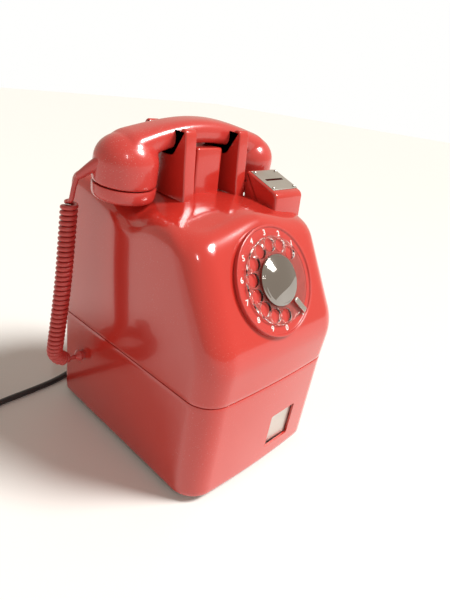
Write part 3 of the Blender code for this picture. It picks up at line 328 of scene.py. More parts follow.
def turned(name, profile, around=64, place=None, closed=False):
    """P(v, u) = (r(v) cos u, r(v) sin u, z(v)): a profile of radius and height in millimetres,
    run down its outer side and turned about Z; place then moves it."""
    r, z = np.array(profile, float).T * MM
    angle = np.linspace(0, TAU, around, endpoint=False)[None, :]
    points = np.stack([r[:, None] * np.cos(angle), r[:, None] * np.sin(angle),
                       z[:, None] + 0 * angle], axis=-1)
    return tidied(surface(name, points, round_u=True, round_v=closed), place)


def tidied(mesh, place=None, outward=True):
    """Merges doubled points and turns the faces out, then applies the place."""
    bm = bmesh.new()
    bm.from_mesh(mesh)
    bmesh.ops.remove_doubles(bm, verts=bm.verts, dist=0.002 * MM)
    bmesh.ops.dissolve_degenerate(bm, edges=bm.edges, dist=0.0005 * MM)
    if outward:
        bmesh.ops.recalc_face_normals(bm, faces=bm.faces)
    bm.to_mesh(mesh)
    bm.free()
    if place is not None:
        mesh.transform(place)
    mesh.update()
    return mesh


def rounded(points, radius, steps=6):
    """A polygon of (a, b) points whose corners become arcs: a quadratic curve through each
    corner, from radius before it to radius after it.  Radius may be one number or one per point."""
    points = np.array(points, float)
    radii = np.broadcast_to(np.asarray(radius, float), (len(points),))
    before, after = np.roll(points, 1, axis=0), np.roll(points, -1, axis=0)
    back, on = before - points, after - points
    far_back, far_on = np.linalg.norm(back, axis=1), np.linalg.norm(on, axis=1)
    start = points + back * (np.minimum(radii / far_back, 0.48))[:, None]
    stop = points + on * (np.minimum(radii / far_on, 0.48))[:, None]
    t = np.linspace(0, 1, steps)[None, :, None]
    return ((1 - t) ** 2 * start[:, None] + 2 * t * (1 - t) * points[:, None]
            + t ** 2 * stop[:, None]).reshape(-1, 2)


LINE_EXIT = np.array((-4, 134.1, 17)) * MM
LINE_RADIUS = 3.5 * MM
COIL_X, COIL_Y = -216 * MM, 182.8 * MM
OUTER_TURN, TURN_STEP, LAYER_TURNS = 46.4 * MM, 7.15 * MM, 2.36
LOW_Z, HIGH_Z = 3.6 * MM, 10.9 * MM

line_run = smooth_line([(-4, 134.1, 17), (-4, 141, 16.8), (-6.5, 150, 14), (-14, 158.5, 8.6),
                        (-26, 162.5, 4.6), (-40, 161.5, 3.6), (-62, 155.5, 3.6), (-90, 148, 3.6),
                        (-120, 145, 3.6), (-160, 143.3, 3.6), (-186, 139.3, 3.6), (-204, 137, 3.6),
                        (-216, 136.4, 3.6)], 3 * MM)
layer = np.linspace(0, LAYER_TURNS, int(LAYER_TURNS * 40))
climb = np.linspace(0, 0.5, 22)[1:-1]
inner = OUTER_TURN - TURN_STEP * LAYER_TURNS
turns = np.concatenate([layer, LAYER_TURNS + climb, LAYER_TURNS + 0.5 + layer])
radii = np.concatenate([OUTER_TURN - TURN_STEP * layer, inner + 0 * climb, inner + TURN_STEP * layer])
rise = climb / 0.5
heights = np.concatenate([LOW_Z + 0 * layer, LOW_Z + (HIGH_Z - LOW_Z) * rise * rise * (3 - 2 * rise),
                          HIGH_Z + 0 * layer])
angles = -math.pi / 2 - TAU * turns
coil_run = np.stack([COIL_X + radii * np.cos(angles), COIL_Y + radii * np.sin(angles), heights], axis=1)
leaving = (coil_run[-1] - coil_run[-2]) / np.linalg.norm(coil_run[-1] - coil_run[-2])
plug_at = coil_run[-1] + leaving * 34 * MM
plug_at[2] = 7.2 * MM
tail_run = smooth_line(np.array([coil_run[-2], coil_run[-1], coil_run[-1] * 0.5 + plug_at * 0.5
                                 + np.array((0, 0, 1.0 * MM)), plug_at]) / MM, 3 * MM)[2:]
lead_line = even_line(np.vstack([line_run, coil_run[1:], tail_run]), 2.6 * MM)
BLACK_VINYL = finish("black_vinyl", (0.018, 0.018, 0.019), 0.38, grain=700, depth=0.02, dust=0.35,
                     Specular_IOR_Level=0.5)
lead = piece("line_lead", tube("line_lead", lead_line, LINE_RADIUS, 14), BLACK_VINYL, "base",
             "black_vinyl", "line_cord", "line_cord_coil", angle=60)

BLACK_RUBBER = finish("black_rubber", (0.022, 0.022, 0.022), 0.62, grain=500, depth=0.05, dust=0.5)
back_place = Matrix.Translation((LINE_EXIT[0], 130.3 * MM, LINE_EXIT[2]))
back_place = back_place @ Matrix.Rotation(-math.pi / 2, 4, "X")
gland_ribs = [(4.3 + 0.5 * (i % 2) - 0.03 * i, 2.2 + i * 0.55) for i in range(14)]
gland_profile = [(3.55, 10.5), (4.0, 10.3), *gland_ribs[::-1], (6.4, 1.6), (7.0, 1.1), (7.0, 0.2),
                 (5.0, 0.0), (5.0, -8), (3.55, -8)]
gland = turned("line_relief", gland_profile, 32, back_place, True)
gland = piece("line_relief", gland, BLACK_RUBBER, "base", "rubber", "line_gland", angle=50)

plug_turn = Matrix.Translation(plug_at) @ Matrix.Rotation(math.atan2(leaving[1], leaving[0]), 4, "Z")


def pillow(name, size, roundness=0.35, place=None, around=40, up=24):
    """Superellipsoid: x = a c(u)c(v), y = b s(u)c(v), z = h s(v), where c and s are the cosine
    and sine raised to the roundness with their signs kept."""
    a, b, h = (s / 2 for s in size)
    u = np.linspace(-math.pi, math.pi, around, endpoint=False)[None, :]
    v = np.linspace(math.pi / 2, -math.pi / 2, up)[:, None]

    def power(value):
        return np.sign(value) * np.abs(value) ** roundness

    points = np.stack([a * power(np.cos(u)) * power(np.cos(v)), b * power(np.sin(u)) * power(np.cos(v)),
                       h * power(np.sin(v)) + 0 * u], axis=-1)
    return tidied(surface(name, points, round_u=True), place)


BLACK_MOULDING = finish("black_moulding", (0.025, 0.025, 0.026), 0.32, grain=600, depth=0.02, dust=0.3)
plug = piece("lead_plug", pillow("lead_plug", (26 * MM, 20 * MM, 13.6 * MM), 0.3,
                                 plug_turn @ Matrix.Translation((13 * MM, 0, 0))), BLACK_MOULDING,
             "base", "black_plastic", "line_plug")
BRASS = finish("worn_brass", (0.72, 0.52, 0.22), 0.28, metallic=1.0, grain=900, depth=0.01, dust=0.2)
pins = np.array([(sx * 5.0, sy * 3.2) for sx in (-1, 1) for sy in (-1, 1)])
for number, (across, up_by) in enumerate(pins, 1):
    pin_place = plug_turn @ Matrix.Translation((33.5 * MM, across * MM, up_by * MM)) @ Matrix.Rotation(
        math.pi / 2, 4, "Y")
    pin = turned("plug_pin", [(0, 1.0), (0.7, 0.6), (1.1, 0), (1.1, -9), (0, -9)], 16, pin_place)
    piece(f"plug_pin_{number}", pin, BRASS, "base", "brass")


# ------------------------------------------------------------------ handset cord
# A retractile cord: a 4.6 mm red vinyl strand wound into a spring about 17 mm across, which
# hangs beside the housing from a moulded boot on the handset and ends in a grommet in the side.

STRAND = 2.3 * MM
CURL_RADIUS = 6.2 * MM
CURL_PITCH = 5.1 * MM
boot_end = np.array((-115.5, 45.0, 286.5)) * MM
drop = smooth_line([(-117, 56.5, 263), (-119.5, 58.5, 228), (-123, 60.5, 185), (-127.5, 62.5, 145),
                    (-130.5, 65.5, 115), (-128.5, 72.5, 96), (-120, 78, 83.5), (-109, 79.5, 77.8),
                    (-104, 79.5, 77)], 0.3 * MM)
_, hang_side, hang_other = carried_frames(drop)
down = np.linspace(0, length_of(drop), len(drop))
start_angle = math.radians(200)
opening = np.clip(down / (5 * MM), 0, 1) * np.clip((down[-1] - down) / (14 * MM), 0, 1)
opening = opening * opening * (3 - 2 * opening)
swing = (start_angle + np.cumsum(opening) * TAU * down[1] / CURL_PITCH)[:, None]
curl = drop + CURL_RADIUS * opening[:, None] * (np.cos(swing) * hang_side + np.sin(swing) * hang_other)
curl = curl[down > 1.2 * MM]
into_curl = (curl[0] - curl[6]) / np.linalg.norm(curl[0] - curl[6])
strand_end = curl[0] + into_curl * 5 * MM
between = boot_end * 0.62 + strand_end * 0.38 + np.array((-0.6, 0.4, -0.6)) * MM
upper_run = smooth_line(np.array([boot_end, between, strand_end, curl[0]]) / MM, 1.5 * MM)
inlet_run = smooth_line(np.array([curl[-1], np.array((-99, 79.5, 76.9)) * MM,
                                  np.array((-93, 79.5, 76.8)) * MM]) / MM, 1.5 * MM)
curly_line = even_line(np.vstack([upper_run[:-1], curl, inlet_run[1:]]), 1.9 * MM)
RED_VINYL = finish("red_vinyl", (0.50, 0.045, 0.04), 0.30, coat=0.15, grain=700, depth=0.02, dust=0.5,
                   shade=0.2)
curly_mesh = tube("curly_cord", curly_line[::-1], STRAND, 12)
curly = piece("curly_cord", curly_mesh, RED_VINYL, None, "red_vinyl", "handset_cord",
              "handset_cord_upper", angle=60)
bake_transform(curly)

boot_line = smooth_line([(-103, 20.5, 305), (-106, 26, 301.5), (-110, 33, 296), (-115.5, 45, 286.5)],
                        1.0 * MM)
boot_run = np.linspace(0, 1, len(boot_line))
boot_radius = np.interp(boot_run, [0, 0.12, 0.25, 0.9, 0.97, 1], [5.4, 6.0, 5.7, 3.6, 3.4, 2.7]) * MM
boot = piece("cord_boot", tube("cord_boot", boot_line, boot_radius, 24), RED_VINYL, "handset", "red_vinyl",
             "handset_boot", angle=60)
inlet_place = at(-91, 79.5, 76.8) @ Matrix.Rotation(-math.pi / 2, 4, "Y")
inlet_profile = [(2.6, 10.5), (3.0, 10.4), (3.6, 9.8), (4.6, 8.4), (6.3, 6.7), (6.9, 5.9), (7.0, 5.2),
                 (6.8, 4.8), (5.0, 4.6), (5.0, -4), (2.6, -4)]
inlet = turned("side_grommet", inlet_profile, 40, inlet_place, True)
inlet = piece("side_grommet", inlet, RED_VINYL, "base", "red_vinyl", "cord_inlet", angle=40)


# ------------------------------------------------------------------ housing
# Two shells of deep-drawn steel in glossy red stoving enamel.  The lower one leans out to the
# knuckle, the upper one leans back from it and is closed by a domed deck; they meet at a groove.

DEPTH, FOOT_Z, SEAM_Z, KNUCKLE_Z, ROOF_Z = 260.6, 8.0, 116.9, 160.8, 300.0
OVERHANG, PANEL_LEAN = math.tan(math.radians(4.0)), math.radians(27.24)
SEAM_HALF = 0.45
SHEET, DIAL_HOLE, BUSHING_HOLE, LOCK_HOLE = 2.4, 36, 5.3, 8.3


def front_y(z):
    """y = y_foot - (z - z_foot) tan 4 deg up to the knuckle, then back by tan 27.24 deg."""
    z = np.asarray(z, float)
    low = -DEPTH / 2 + (KNUCKLE_Z - z) * OVERHANG
    return np.where(z <= KNUCKLE_Z, low, -DEPTH / 2 + (z - KNUCKLE_Z) * math.tan(PANEL_LEAN))


def back_y(z):
    """y = D/2 - rise tan 1.6 deg up to the seam, then by tan 4 deg."""
    low = DEPTH / 2 - (min(z, SEAM_Z) - FOOT_Z) * math.tan(math.radians(1.6))
    return low - max(z - SEAM_Z, 0) * OVERHANG


def half_width(z):
    return float(np.interp(z, [FOOT_Z, SEAM_Z, KNUCKLE_Z, ROOF_Z], [95.4, 94.3, 94.0, 88.6]))


def deck_z(x, y):
    """z = (1 - c) seat + c ridge, with c a smooth step in y behind the cups; the seat falls by
    (k / f + s) x^2, where k and f grow exponentially in front of the crest and s is a bell in y."""
    step = np.clip((y - 34.5) / 58.0, 0, 1)
    climb = step * step * (3 - 2 * step)
    grow = np.exp(np.minimum(-(y + 67.5) / 30, 0))
    seat = 0.0016 * np.exp(-((y - 8.3) / 24) ** 2)
    seated = 276.0 - 6.0 * grow - ((0.0006 + 0.006 * grow) / (1 + grow * (x / 50) ** 2) + seat) * x * x
    return seated * (1 - climb) + (281.0 - 0.00035 * x * x) * climb


def half_plan(z, crown=2.0, inset=0.0):
    """Right half of the plan from the front middle to the back middle: a crowned front, a quarter
    circle, a side that closes at 1.3 deg, a smaller quarter circle and a flat back."""
    width, front, back = half_width(z) - inset, float(front_y(z)) + inset, back_y(z) - inset
    corner, rear, close = 27.0 - inset, 14.0 - inset, math.tan(math.radians(1.3))
    flat = width - corner
    t = np.linspace(0, 1, 22, endpoint=False)
    parts = [np.stack([flat * t, front + crown * t * t], 1)]
    a = np.linspace(0, math.pi / 2, 16, endpoint=False)
    start, stop = front + crown + corner, back - rear
    parts.append(np.stack([flat + corner * np.sin(a), start - corner * np.cos(a)], 1))
    t = np.linspace(0, 1, 36, endpoint=False)
    parts.append(np.stack([width - close * t * (stop - start), start + t * (stop - start)], 1))
    rear_x = width - close * (stop - start) - rear
    a = np.linspace(0, math.pi / 2, 10, endpoint=False)
    parts.append(np.stack([rear_x + rear * np.cos(a), stop + rear * np.sin(a)], 1))
    t = np.linspace(0, 1, 16)
    parts.append(np.stack([rear_x * (1 - t), back + 0 * t], 1))
    plan = np.concatenate(parts)
    return np.concatenate([plan, np.full((len(plan), 1), z)], 1)


def rounding(before, corner, after, steps):
    """P(t) = (1-t)^2 A + 2t(1-t) B + t^2 C for whole rows of points at once."""
    t = np.linspace(0, 1, steps)[:, None, None]
    return (1 - t) ** 2 * before + 2 * t * (1 - t) * corner + t * t * after


def both_halves(rows):
    """The grid of the right half with its mirror image, as one closed ring of columns."""
    left = rows[:, ::-1] * np.array((-1, 1, 1))
    return np.concatenate([rows, left], axis=1) * MM


def on_wall(low, high):
    """Where each straight wall line meets the deck, found by halving."""
    inside, outside = np.zeros(len(low)), np.ones(len(low))
    for _ in range(30):
        middle = (inside + outside) / 2
        p = low + (high - low) * middle[:, None]
        under = p[:, 2] < deck_z(p[:, 0], p[:, 1])
        inside, outside = np.where(under, middle, inside), np.where(under, outside, middle)
    return low + (high - low) * inside[:, None]


def upper_rows():
    seam, knuckle, roof = half_plan(SEAM_Z + SEAM_HALF), half_plan(KNUCKLE_Z, 0.0), half_plan(ROOF_Z, 0.0)
    edge = on_wall(knuckle, roof)
    share = np.linspace(0, 1, len(edge))
    first, last = edge[0, 1] + 30, edge[-1, 1] - 30
    spine = np.stack([0 * share, first + (last - first) * share], 1)
    blend = 9 + 11 * np.sin(math.pi / 2 * np.minimum(np.abs(edge[:, 0]) / 70, 1))
    blend = np.where(share > 0.6, np.interp(share, [0.6, 0.8, 1.0], [20, 12, 12]), blend)[:, None]
    inward = spine - edge[:, :2]
    inward = edge[:, :2] + inward * blend / np.linalg.norm(inward, axis=1)[:, None]
    on_deck = np.concatenate([inward, deck_z(inward[:, 0], inward[:, 1])[:, None]], 1)
    down, up = seam - knuckle, edge - knuckle
    below = knuckle + down * 16 / np.linalg.norm(down, axis=1)[:, None]
    above = knuckle + up * 16 / np.linalg.norm(up, axis=1)[:, None]
    under = edge - up * blend / np.linalg.norm(up, axis=1)[:, None]
    lip = np.stack([half_plan(SEAM_Z + SEAM_HALF, inset=2.2), half_plan(SEAM_Z + SEAM_HALF, inset=0.6),
                    half_plan(SEAM_Z + SEAM_HALF + 0.18, inset=0.18), half_plan(SEAM_Z + SEAM_HALF + 0.6)])
    t = np.linspace(0, 1, 14)[1:-1, None, None]
    s = np.linspace(0, 1, 8)[1:-1, None, None]
    panel = above * (1 - t) + under * t
    wall = half_plan(SEAM_Z + SEAM_HALF + 0.6) * (1 - s) + below * s
    t = np.linspace(0, 1, 16)[1:, None]
    x, y = on_deck[:, 0] * (1 - t), on_deck[:, 1] * (1 - t) + spine[:, 1] * t
    deck = np.stack([x, y, deck_z(x, y)], -1)
    return np.concatenate([lip, wall, rounding(below, knuckle, above, 10), panel,
                           rounding(under, edge, on_deck, 14), deck])


def lower_rows():
    rows = [half_plan(FOOT_Z, inset=4.0), half_plan(FOOT_Z, inset=1.5), half_plan(FOOT_Z + 0.5, inset=0.5),
            half_plan(FOOT_Z + 1.8)]
    top = SEAM_Z - SEAM_HALF
    rows += [half_plan(z) for z in np.linspace(FOOT_Z + 6, top - 5, 14)]
    rows += [half_plan(top - 0.6), half_plan(top - 0.18, inset=0.18), half_plan(top, inset=0.6),
             half_plan(top, inset=2.2)]
    return np.stack(rows)


def carved(mesh, *cutters, wall=0.0):
    """The mesh with a wall of that thickness inside it and the cutter meshes taken away."""
    scene = bpy.context.scene.collection
    solid = bpy.data.objects.new("solid", mesh)
    scene.objects.link(solid)
    if wall:
        shell = solid.modifiers.new("wall", "SOLIDIFY")
        shell.thickness, shell.offset = wall * MM, -1
    tools = []
    for cutter in cutters:
        tool = bpy.data.objects.new("cutter", cutter)
        scene.objects.link(tool)
        tools.append(tool)
        cut = solid.modifiers.new("cut", "BOOLEAN")
        cut.operation, cut.solver, cut.object = "DIFFERENCE", "EXACT", tool
    graph = bpy.context.evaluated_depsgraph_get()
    made = bpy.data.meshes.new_from_object(solid.evaluated_get(graph))
    for thing in (solid, *tools):
        bpy.data.objects.remove(thing)
    made.materials.clear()
    return made


def block(name, size, middle=(0, 0, 0), radius=0.0, place=None):
    """A box in millimetres whose four upright edges are rounded, run from bottom to top."""
    w, d, h = size
    plan = np.array([(w / 2, d / 2), (-w / 2, d / 2), (-w / 2, -d / 2), (w / 2, -d / 2)])
    if radius:
        plan = rounded(plan, radius)
    rows = [np.concatenate([plan, np.full((len(plan), 1), z)], 1) for z in (-h / 2, h / 2)]
    points = (np.stack(rows) + np.array(middle)) * MM
    return tidied(surface(name, points, round_u=True, caps=True), place)


ENAMEL = finish("red_enamel", (0.54, 0.032, 0.022), 0.17, coat=0.55, grain=260, depth=0.012, spread=0.05,
                shade=0.05, dust=0.16)
DIAL_Z = 215.0
DIAL = at(0, float(front_y(DIAL_Z)), DIAL_Z) @ Matrix.Rotation(math.pi / 2 - PANEL_LEAN, 4, "X")
HANDSET_Y = 18.3
FORK_X = 35.3


def rod(name, radius, low, high, place=None, around=48):
    return turned(name, [(0, high), (radius, high), (radius, low), (0, low)], around, place)


upper = tidied(surface("enamel_upper", both_halves(upper_rows()), round_u=True))
holes = [rod("hole", DIAL_HOLE, -12, 12, DIAL)]
holes += [rod("hole", 3.8, 240, 300, at(x, HANDSET_Y)) for x in (-FORK_X, FORK_X)]
upper = carved(upper, *holes, wall=SHEET)
piece("enamel_upper", upper, ENAMEL, "base", "red_paint", "upper_housing", angle=38)

RETURN_X, RETURN_Z = 26.7, 47.0
RETURN = at(RETURN_X, float(front_y(RETURN_Z)) + 1.4, RETURN_Z)
RETURN = RETURN @ Matrix.Rotation(math.pi / 2 + math.radians(4.0), 4, "X")
lower = tidied(surface("enamel_lower", both_halves(lower_rows()), round_u=True))
side_hole = at(-91, 79.5, 76.8) @ Matrix.Rotation(math.pi / 2, 4, "Y")
LOCK_X, LOCK_Z = 55.0, 60.0
LOCK = at(LOCK_X, back_y(LOCK_Z), LOCK_Z) @ Matrix.Rotation(-math.pi / 2, 4, "X")
holes = [block("hole", (39.3, 42.1, 16), (0, 0, 0), 2.2, RETURN),
         rod("hole", BUSHING_HOLE, -12, 12, side_hole), rod("hole", BUSHING_HOLE, -12, 12, back_place),
         rod("hole", LOCK_HOLE, -12, 12, LOCK)]
lower = carved(lower, *holes, wall=SHEET)
piece("enamel_lower", lower, ENAMEL, "base", "red_paint", "lower_housing", angle=38)


# ------------------------------------------------------------------ base plate and feet
# A zinc-plated steel plate closes the bottom, and four black rubber feet are screwed to it.

ZINC = finish("zinc_plate", (0.50, 0.50, 0.47), 0.36, metallic=1.0, grain=120, depth=0.02, spread=0.1,
              shade=0.2)
plate = half_plan(FOOT_Z, inset=4.4)
ring = both_halves(np.stack([plate, plate + np.array((0, 0, 2.0))])) + np.array((0, 0, 0.5 * MM))
piece("bottom_plate", tidied(surface("bottom_plate", ring, round_u=True, caps=True)), ZINC, "base",
      "plated_steel", "base_plate")
for node, x, y in (("foot_front_left", -80, -79.5), ("foot_front_right", 80, -79.5),
                   ("foot_rear_left", -75.5, 95), ("foot_rear_right", 75.5, 95)):
    profile = [(0, 8.1), (8.6, 8.1), (9.4, 7.8), (9.9, 7.0), (9.5, 3.0), (9.0, 1.0), (8.4, 0.3), (7.6, 0),
               (4.2, 0), (3.8, 0.6), (3.6, 2.4), (0, 2.4)]
    piece("rubber_" + node, turned("foot", profile, 48, at(x, y)), BLACK_RUBBER, "base", "rubber", node)


# ------------------------------------------------------------------ coin head
# A red block stands on the right of the deck; its sloping top is let in for an aluminium plate
# with the coin slot, which four small rivets hold.

def prism(name, outline, low, high, place, chamfer=1.0, steps=5):
    """An outline in (a, b) carried from low to high along the third axis, its rims rounded: the
    outline shrinks by c (1 - sin w) while it moves by c (1 - cos w)."""
    outline = np.array(outline, float)
    tangent = np.roll(outline, -1, axis=0) - np.roll(outline, 1, axis=0)
    tangent /= np.linalg.norm(tangent, axis=1)[:, None]
    area = np.sum(outline[:, 0] * np.roll(outline[:, 1], -1) - np.roll(outline[:, 0], -1) * outline[:, 1])
    inward = np.stack([-tangent[:, 1], tangent[:, 0]], 1) * np.sign(area)
    w = np.linspace(0, math.pi / 2, steps)
    rims = [(outline + inward * chamfer * (1 - math.sin(a)), chamfer * (1 - math.cos(a))) for a in w]
    rows = [(rim, low + up) for rim, up in rims] + [(rim, high - up) for rim, up in rims[::-1]]
    points = np.stack([np.concatenate([plan, np.full((len(plan), 1), z)], 1) for plan, z in rows]) * MM
    return tidied(surface(name, points, round_u=True, caps=True), place)


HEAD_SLOPE = math.radians(20.3)
HEAD_Y = -33
HEAD = at(67, HEAD_Y, 289.4) @ Matrix.Rotation(HEAD_SLOPE, 4, "X")
ACROSS = Matrix(((0, 0, 1, 0), (1, 0, 0, 0), (0, 1, 0, 0), (0, 0, 0, 1)))


def head_top(y):
    """The height of the sloping top at that y."""
    return 290.4 + (y - HEAD_Y) * math.tan(HEAD_SLOPE)


side_view = [(-58, 240), (-13.5, 240), (-13.5, head_top(-13.5)), (-57.2, head_top(-57.2))]
side_view = rounded(side_view, [8, 8, 3.6, 5], 8)
head = prism("enamel_coin_head", side_view, 44, 88.5, ACROSS, 2.8)
recess = block("recess", (41.2, 36.2, 10), (0, 0, 5), 1.4, HEAD)
slot_way = block("slot_way", (29.4, 4.4, 40), (0, 0, -15), 0, HEAD)
head = carved(head, recess, slot_way)
piece("enamel_coin_head", head, ENAMEL, "base", "red_paint", "coin_head", angle=40)

SATIN_ALUMINIUM = finish("satin_aluminium", (0.60, 0.59, 0.55), 0.33, metallic=1.0, grain=90, depth=0.03,
                         spread=0.10, shade=0.22, dust=0.5)
plate_outline = rounded([(-20.25, -17.75), (20.25, -17.75), (20.25, 17.75), (-20.25, 17.75)], 1.2)
slot_plate = prism("slot_plate", plate_outline, 0.3, 1.5, HEAD, 0.35, 4)
slot_plate = carved(slot_plate, block("slot", (28, 3.2, 10), (0, 0, 0), 1.2, HEAD))
piece("slot_plate", slot_plate, SATIN_ALUMINIUM, "base", "aluminium", "coin_slot_plate")
RIVET = [(0, 3.0), (0.8, 2.9), (1.35, 2.45), (1.5, 1.8), (0, 1.8)]
for number, (sx, sy) in enumerate(((-1, -1), (-1, 1), (1, -1), (1, 1)), 1):
    rivet = turned("rivet", RIVET, 24, HEAD @ at(sx * 16.85, sy * 14.55))
    piece(f"rivet_{number}", rivet, ZINC, "base", "plated_steel", f"slot_plate_screw_{number}")


# ------------------------------------------------------------------ dial
# A red moulded number plate with ten printed digits, a clear acrylic finger wheel with ten
# holes, a chromed dome on the hub and a bent steel finger stop.

MOULDING = finish("red_moulding", (0.54, 0.042, 0.034), 0.24, coat=0.4, grain=320, depth=0.012,
                  shade=0.06, dust=0.35)
profile = rounded([(8, 0.3), (8, 2.9), (49.4, 2.9), (50.4, 4.5), (52.5, 4.5), (52.5, 0.3)],
                  [0.1, 0.1, 0.7, 0.7, 0.9, 0.1], 5)
ring = turned("dial_ring", profile, 128, DIAL, True)
piece("dial_ring", ring, MOULDING, "base", "red_plastic", "number_plate", angle=50)

WHITE_INK = finish("white_ink", (0.86, 0.85, 0.82), 0.4, grain=600, depth=0.01, shade=0.05, dust=0.1)
FIRST_HOLE, HOLE_STEP, DIGIT_CIRCLE = math.radians(41.8), math.radians(25.44), 45.4
for number in range(10):
    letter = bpy.data.curves.new("digit", "FONT")
    letter.body = str((number + 1) % 10)
    letter.size = 7.4 * MM
    letter.extrude = 0.06 * MM
    letter.offset = 0.12 * MM
    letter.align_x, letter.align_y = "CENTER", "CENTER"
    holder = bpy.data.objects.new("digit", letter)
    bpy.context.scene.collection.objects.link(holder)
    graph = bpy.context.evaluated_depsgraph_get()
    flat = bpy.data.meshes.new_from_object(holder.evaluated_get(graph))
    bpy.data.objects.remove(holder)
    angle = FIRST_HOLE + HOLE_STEP * number
    spot = Vector((DIGIT_CIRCLE * math.cos(angle), DIGIT_CIRCLE * math.sin(angle), 2.97)) * MM
    flat = tidied(flat, DIAL @ Matrix.Translation(spot))
    flat.materials.clear()
    piece(f"digit_{(number + 1) % 10}", flat, WHITE_INK, "base", "red_plastic")

WHEEL_LOW, WHEEL_HIGH, HOLE_CIRCLE = 3.9, 6.1, 33.6
FINGER_HOLE = [(0, 7), (7.2, 7), (7.2, 6.1), (6.6, 5.7), (6.3, 5.0), (6.3, 4.5), (6.6, 3.9), (6.6, 3), (0, 3)]
profile = rounded([(4.3, WHEEL_LOW), (4.3, WHEEL_HIGH), (41.5, WHEEL_HIGH), (41.5, WHEEL_LOW)],
                  [0.1, 0.1, 0.8, 0.8], 6)
wheel = turned("clear_wheel", profile, 128, None, True)
holes = []
for number in range(10):
    angle = FIRST_HOLE + HOLE_STEP * number
    spot = at(HOLE_CIRCLE * math.cos(angle), HOLE_CIRCLE * math.sin(angle))
    holes.append(turned("finger_hole", FINGER_HOLE, 40, spot))
wheel = tidied(carved(wheel, *holes), DIAL, outward=False)
ACRYLIC = finish("clear_acrylic", (0.97, 0.94, 0.93), 0.06, grain=200, depth=0.004, spread=0.03, shade=0.02,
                 dust=0.1, Transmission_Weight=1.0, IOR=1.49)
piece("clear_wheel", wheel, ACRYLIC, "dial", "clear_plastic", "finger_wheel", angle=30)

# The chrome's base colour is set darker than real chrome. This is a painted dark reflection that stands in for
# the dark room the hub dome mirrors.
CHROME_WITH_PAINTED_DARK_REFLECTION = finish("chrome_with_painted_dark_reflection", (0.34, 0.32, 0.30), 0.07, metallic=1.0, grain=60, depth=0.004, spread=0.04,
                shade=0.1, dust=0.2)
t = np.linspace(0, 1, 14)
dome = np.stack([21.6 * t, 6.4 + 3.4 + 4.1 * np.cos(math.pi / 2 * t)], 1)
rim = [(22.0, 9.2), (22.4, 8.9), (23.3, 8.7), (24.0, 8.2), (24.4, 7.5), (24.4, 6.5), (0, 6.5)]
profile = np.concatenate([dome, rim])
piece("hub_dome", turned("hub_dome", profile, 96, DIAL), CHROME_WITH_PAINTED_DARK_REFLECTION, "dial", "chrome", "centre_cap", angle=28)

STEEL = finish("bright_steel", (0.60, 0.59, 0.56), 0.26, metallic=1.0, grain=90, depth=0.02, spread=0.08,
               shade=0.15)
stop_side = rounded([(26.8, 7.4), (43.6, 7.1), (43.6, 3.2), (47.6, 3.2), (47.6, 4.6), (45.1, 4.6), (45.1, 8.5),
                     (27.2, 8.5)], [0.3, 1.2, 0.6, 0.3, 0.3, 0.5, 1.4, 0.4], 6)
stop_place = DIAL @ Matrix.Rotation(math.radians(-53), 4, "Z") @ Matrix.Rotation(math.pi / 2, 4, "X")
stop_hook = prism("stop_hook", stop_side, -2.75, 2.75, stop_place, 0.2, 3)
piece("stop_hook", stop_hook, STEEL, "base", "plated_steel", "finger_stop", angle=45)


# ------------------------------------------------------------------ cradle
# Two enamelled forks with rounded prongs carry the handle, a block stands between them, and a
# black plunger in each saddle is pressed down by the handset.

FORK = [(-16.5, 262), (-14.2, 300), (-13, 332), (-11, 335.2), (-8, 336), (-4, 334.5), (-1, 330), (0.2, 319),
        (3.5, 313.2), (9, 312), (27.5, 313), (33.5, 315), (37, 322), (38.5, 332.5), (41.5, 337.5),
        (43.5, 338.5), (47, 336.5), (49, 331.5), (52.5, 262)]
FORK_HALF = 6.75


def over_deck(mesh, lift=0.15):
    """Every point under the deck comes up to just below its surface: z = max(z, deck - lift)."""
    points = np.zeros(len(mesh.vertices) * 3)
    mesh.vertices.foreach_get("co", points)
    points = points.reshape(-1, 3) / MM
    points[:, 2] = np.maximum(points[:, 2], deck_z(points[:, 0], points[:, 1]) - lift)
    mesh.vertices.foreach_set("co", (points * MM).ravel())
    mesh.update()
    return mesh


for side, x in (("left", -FORK_X), ("right", FORK_X)):
    outline = rounded(FORK, [6, 4, 3, 2, 3, 3, 4, 6, 4, 6, 4, 4, 5, 4, 3, 2, 3, 4, 6], 5)
    fork = over_deck(prism("fork", outline, -FORK_HALF, FORK_HALF, at(x, 0) @ ACROSS, 1.5, 6))
    fork = carved(fork, rod("hole", 3.7, 240, 340, at(x, HANDSET_Y)))
    piece(f"enamel_fork_{side}", fork, ENAMEL, "base", "red_paint", f"cradle_fork_{side}", angle=42)
block_plan = rounded([(-17, -2.7), (17, -2.7), (17, 44), (-17, 44)], 3.0)
middle_block = over_deck(prism("enamel_block", block_plan, 262, 318, None, 2.4, 6))
piece("enamel_block", middle_block, ENAMEL, "base", "red_paint", "cradle_block", angle=42)
saddle_top = 343.5 - 22 - 0.0025 * FORK_X ** 2 - 0.8
for side, x in (("left", -FORK_X), ("right", FORK_X)):
    profile = [(0, saddle_top), (1.4, saddle_top - 0.15), (2.3, saddle_top - 0.8), (2.8, saddle_top - 1.8),
               (3.0, saddle_top - 3), (3.0, 252.3), (0, 252.3)]
    pin = turned("hook_pin", profile, 32, at(x, HANDSET_Y))
    piece(f"hook_pin_{side}", pin, BLACK_MOULDING, "hook", "black_plastic", f"hook_plunger_{side}")


# ------------------------------------------------------------------ handset
# A hollow red moulding with a broad arched handle and two deep cups, each closed by a screwed
# cap; the earpiece cap has a ring of sound holes and the mouthpiece cap a full pattern.

HANDLE_Z = 332.5
HANDSET = at(0, HANDSET_Y, HANDLE_Z) @ Matrix.Rotation(math.radians(6), 4, "X")
CUP_X, CUP_R, ARCH = 80.5, 29.5, 0.0025
FLOOR = 270.4 - HANDLE_Z
BAND, CROWN = FLOOR + 13, 11 - ARCH * CUP_X ** 2


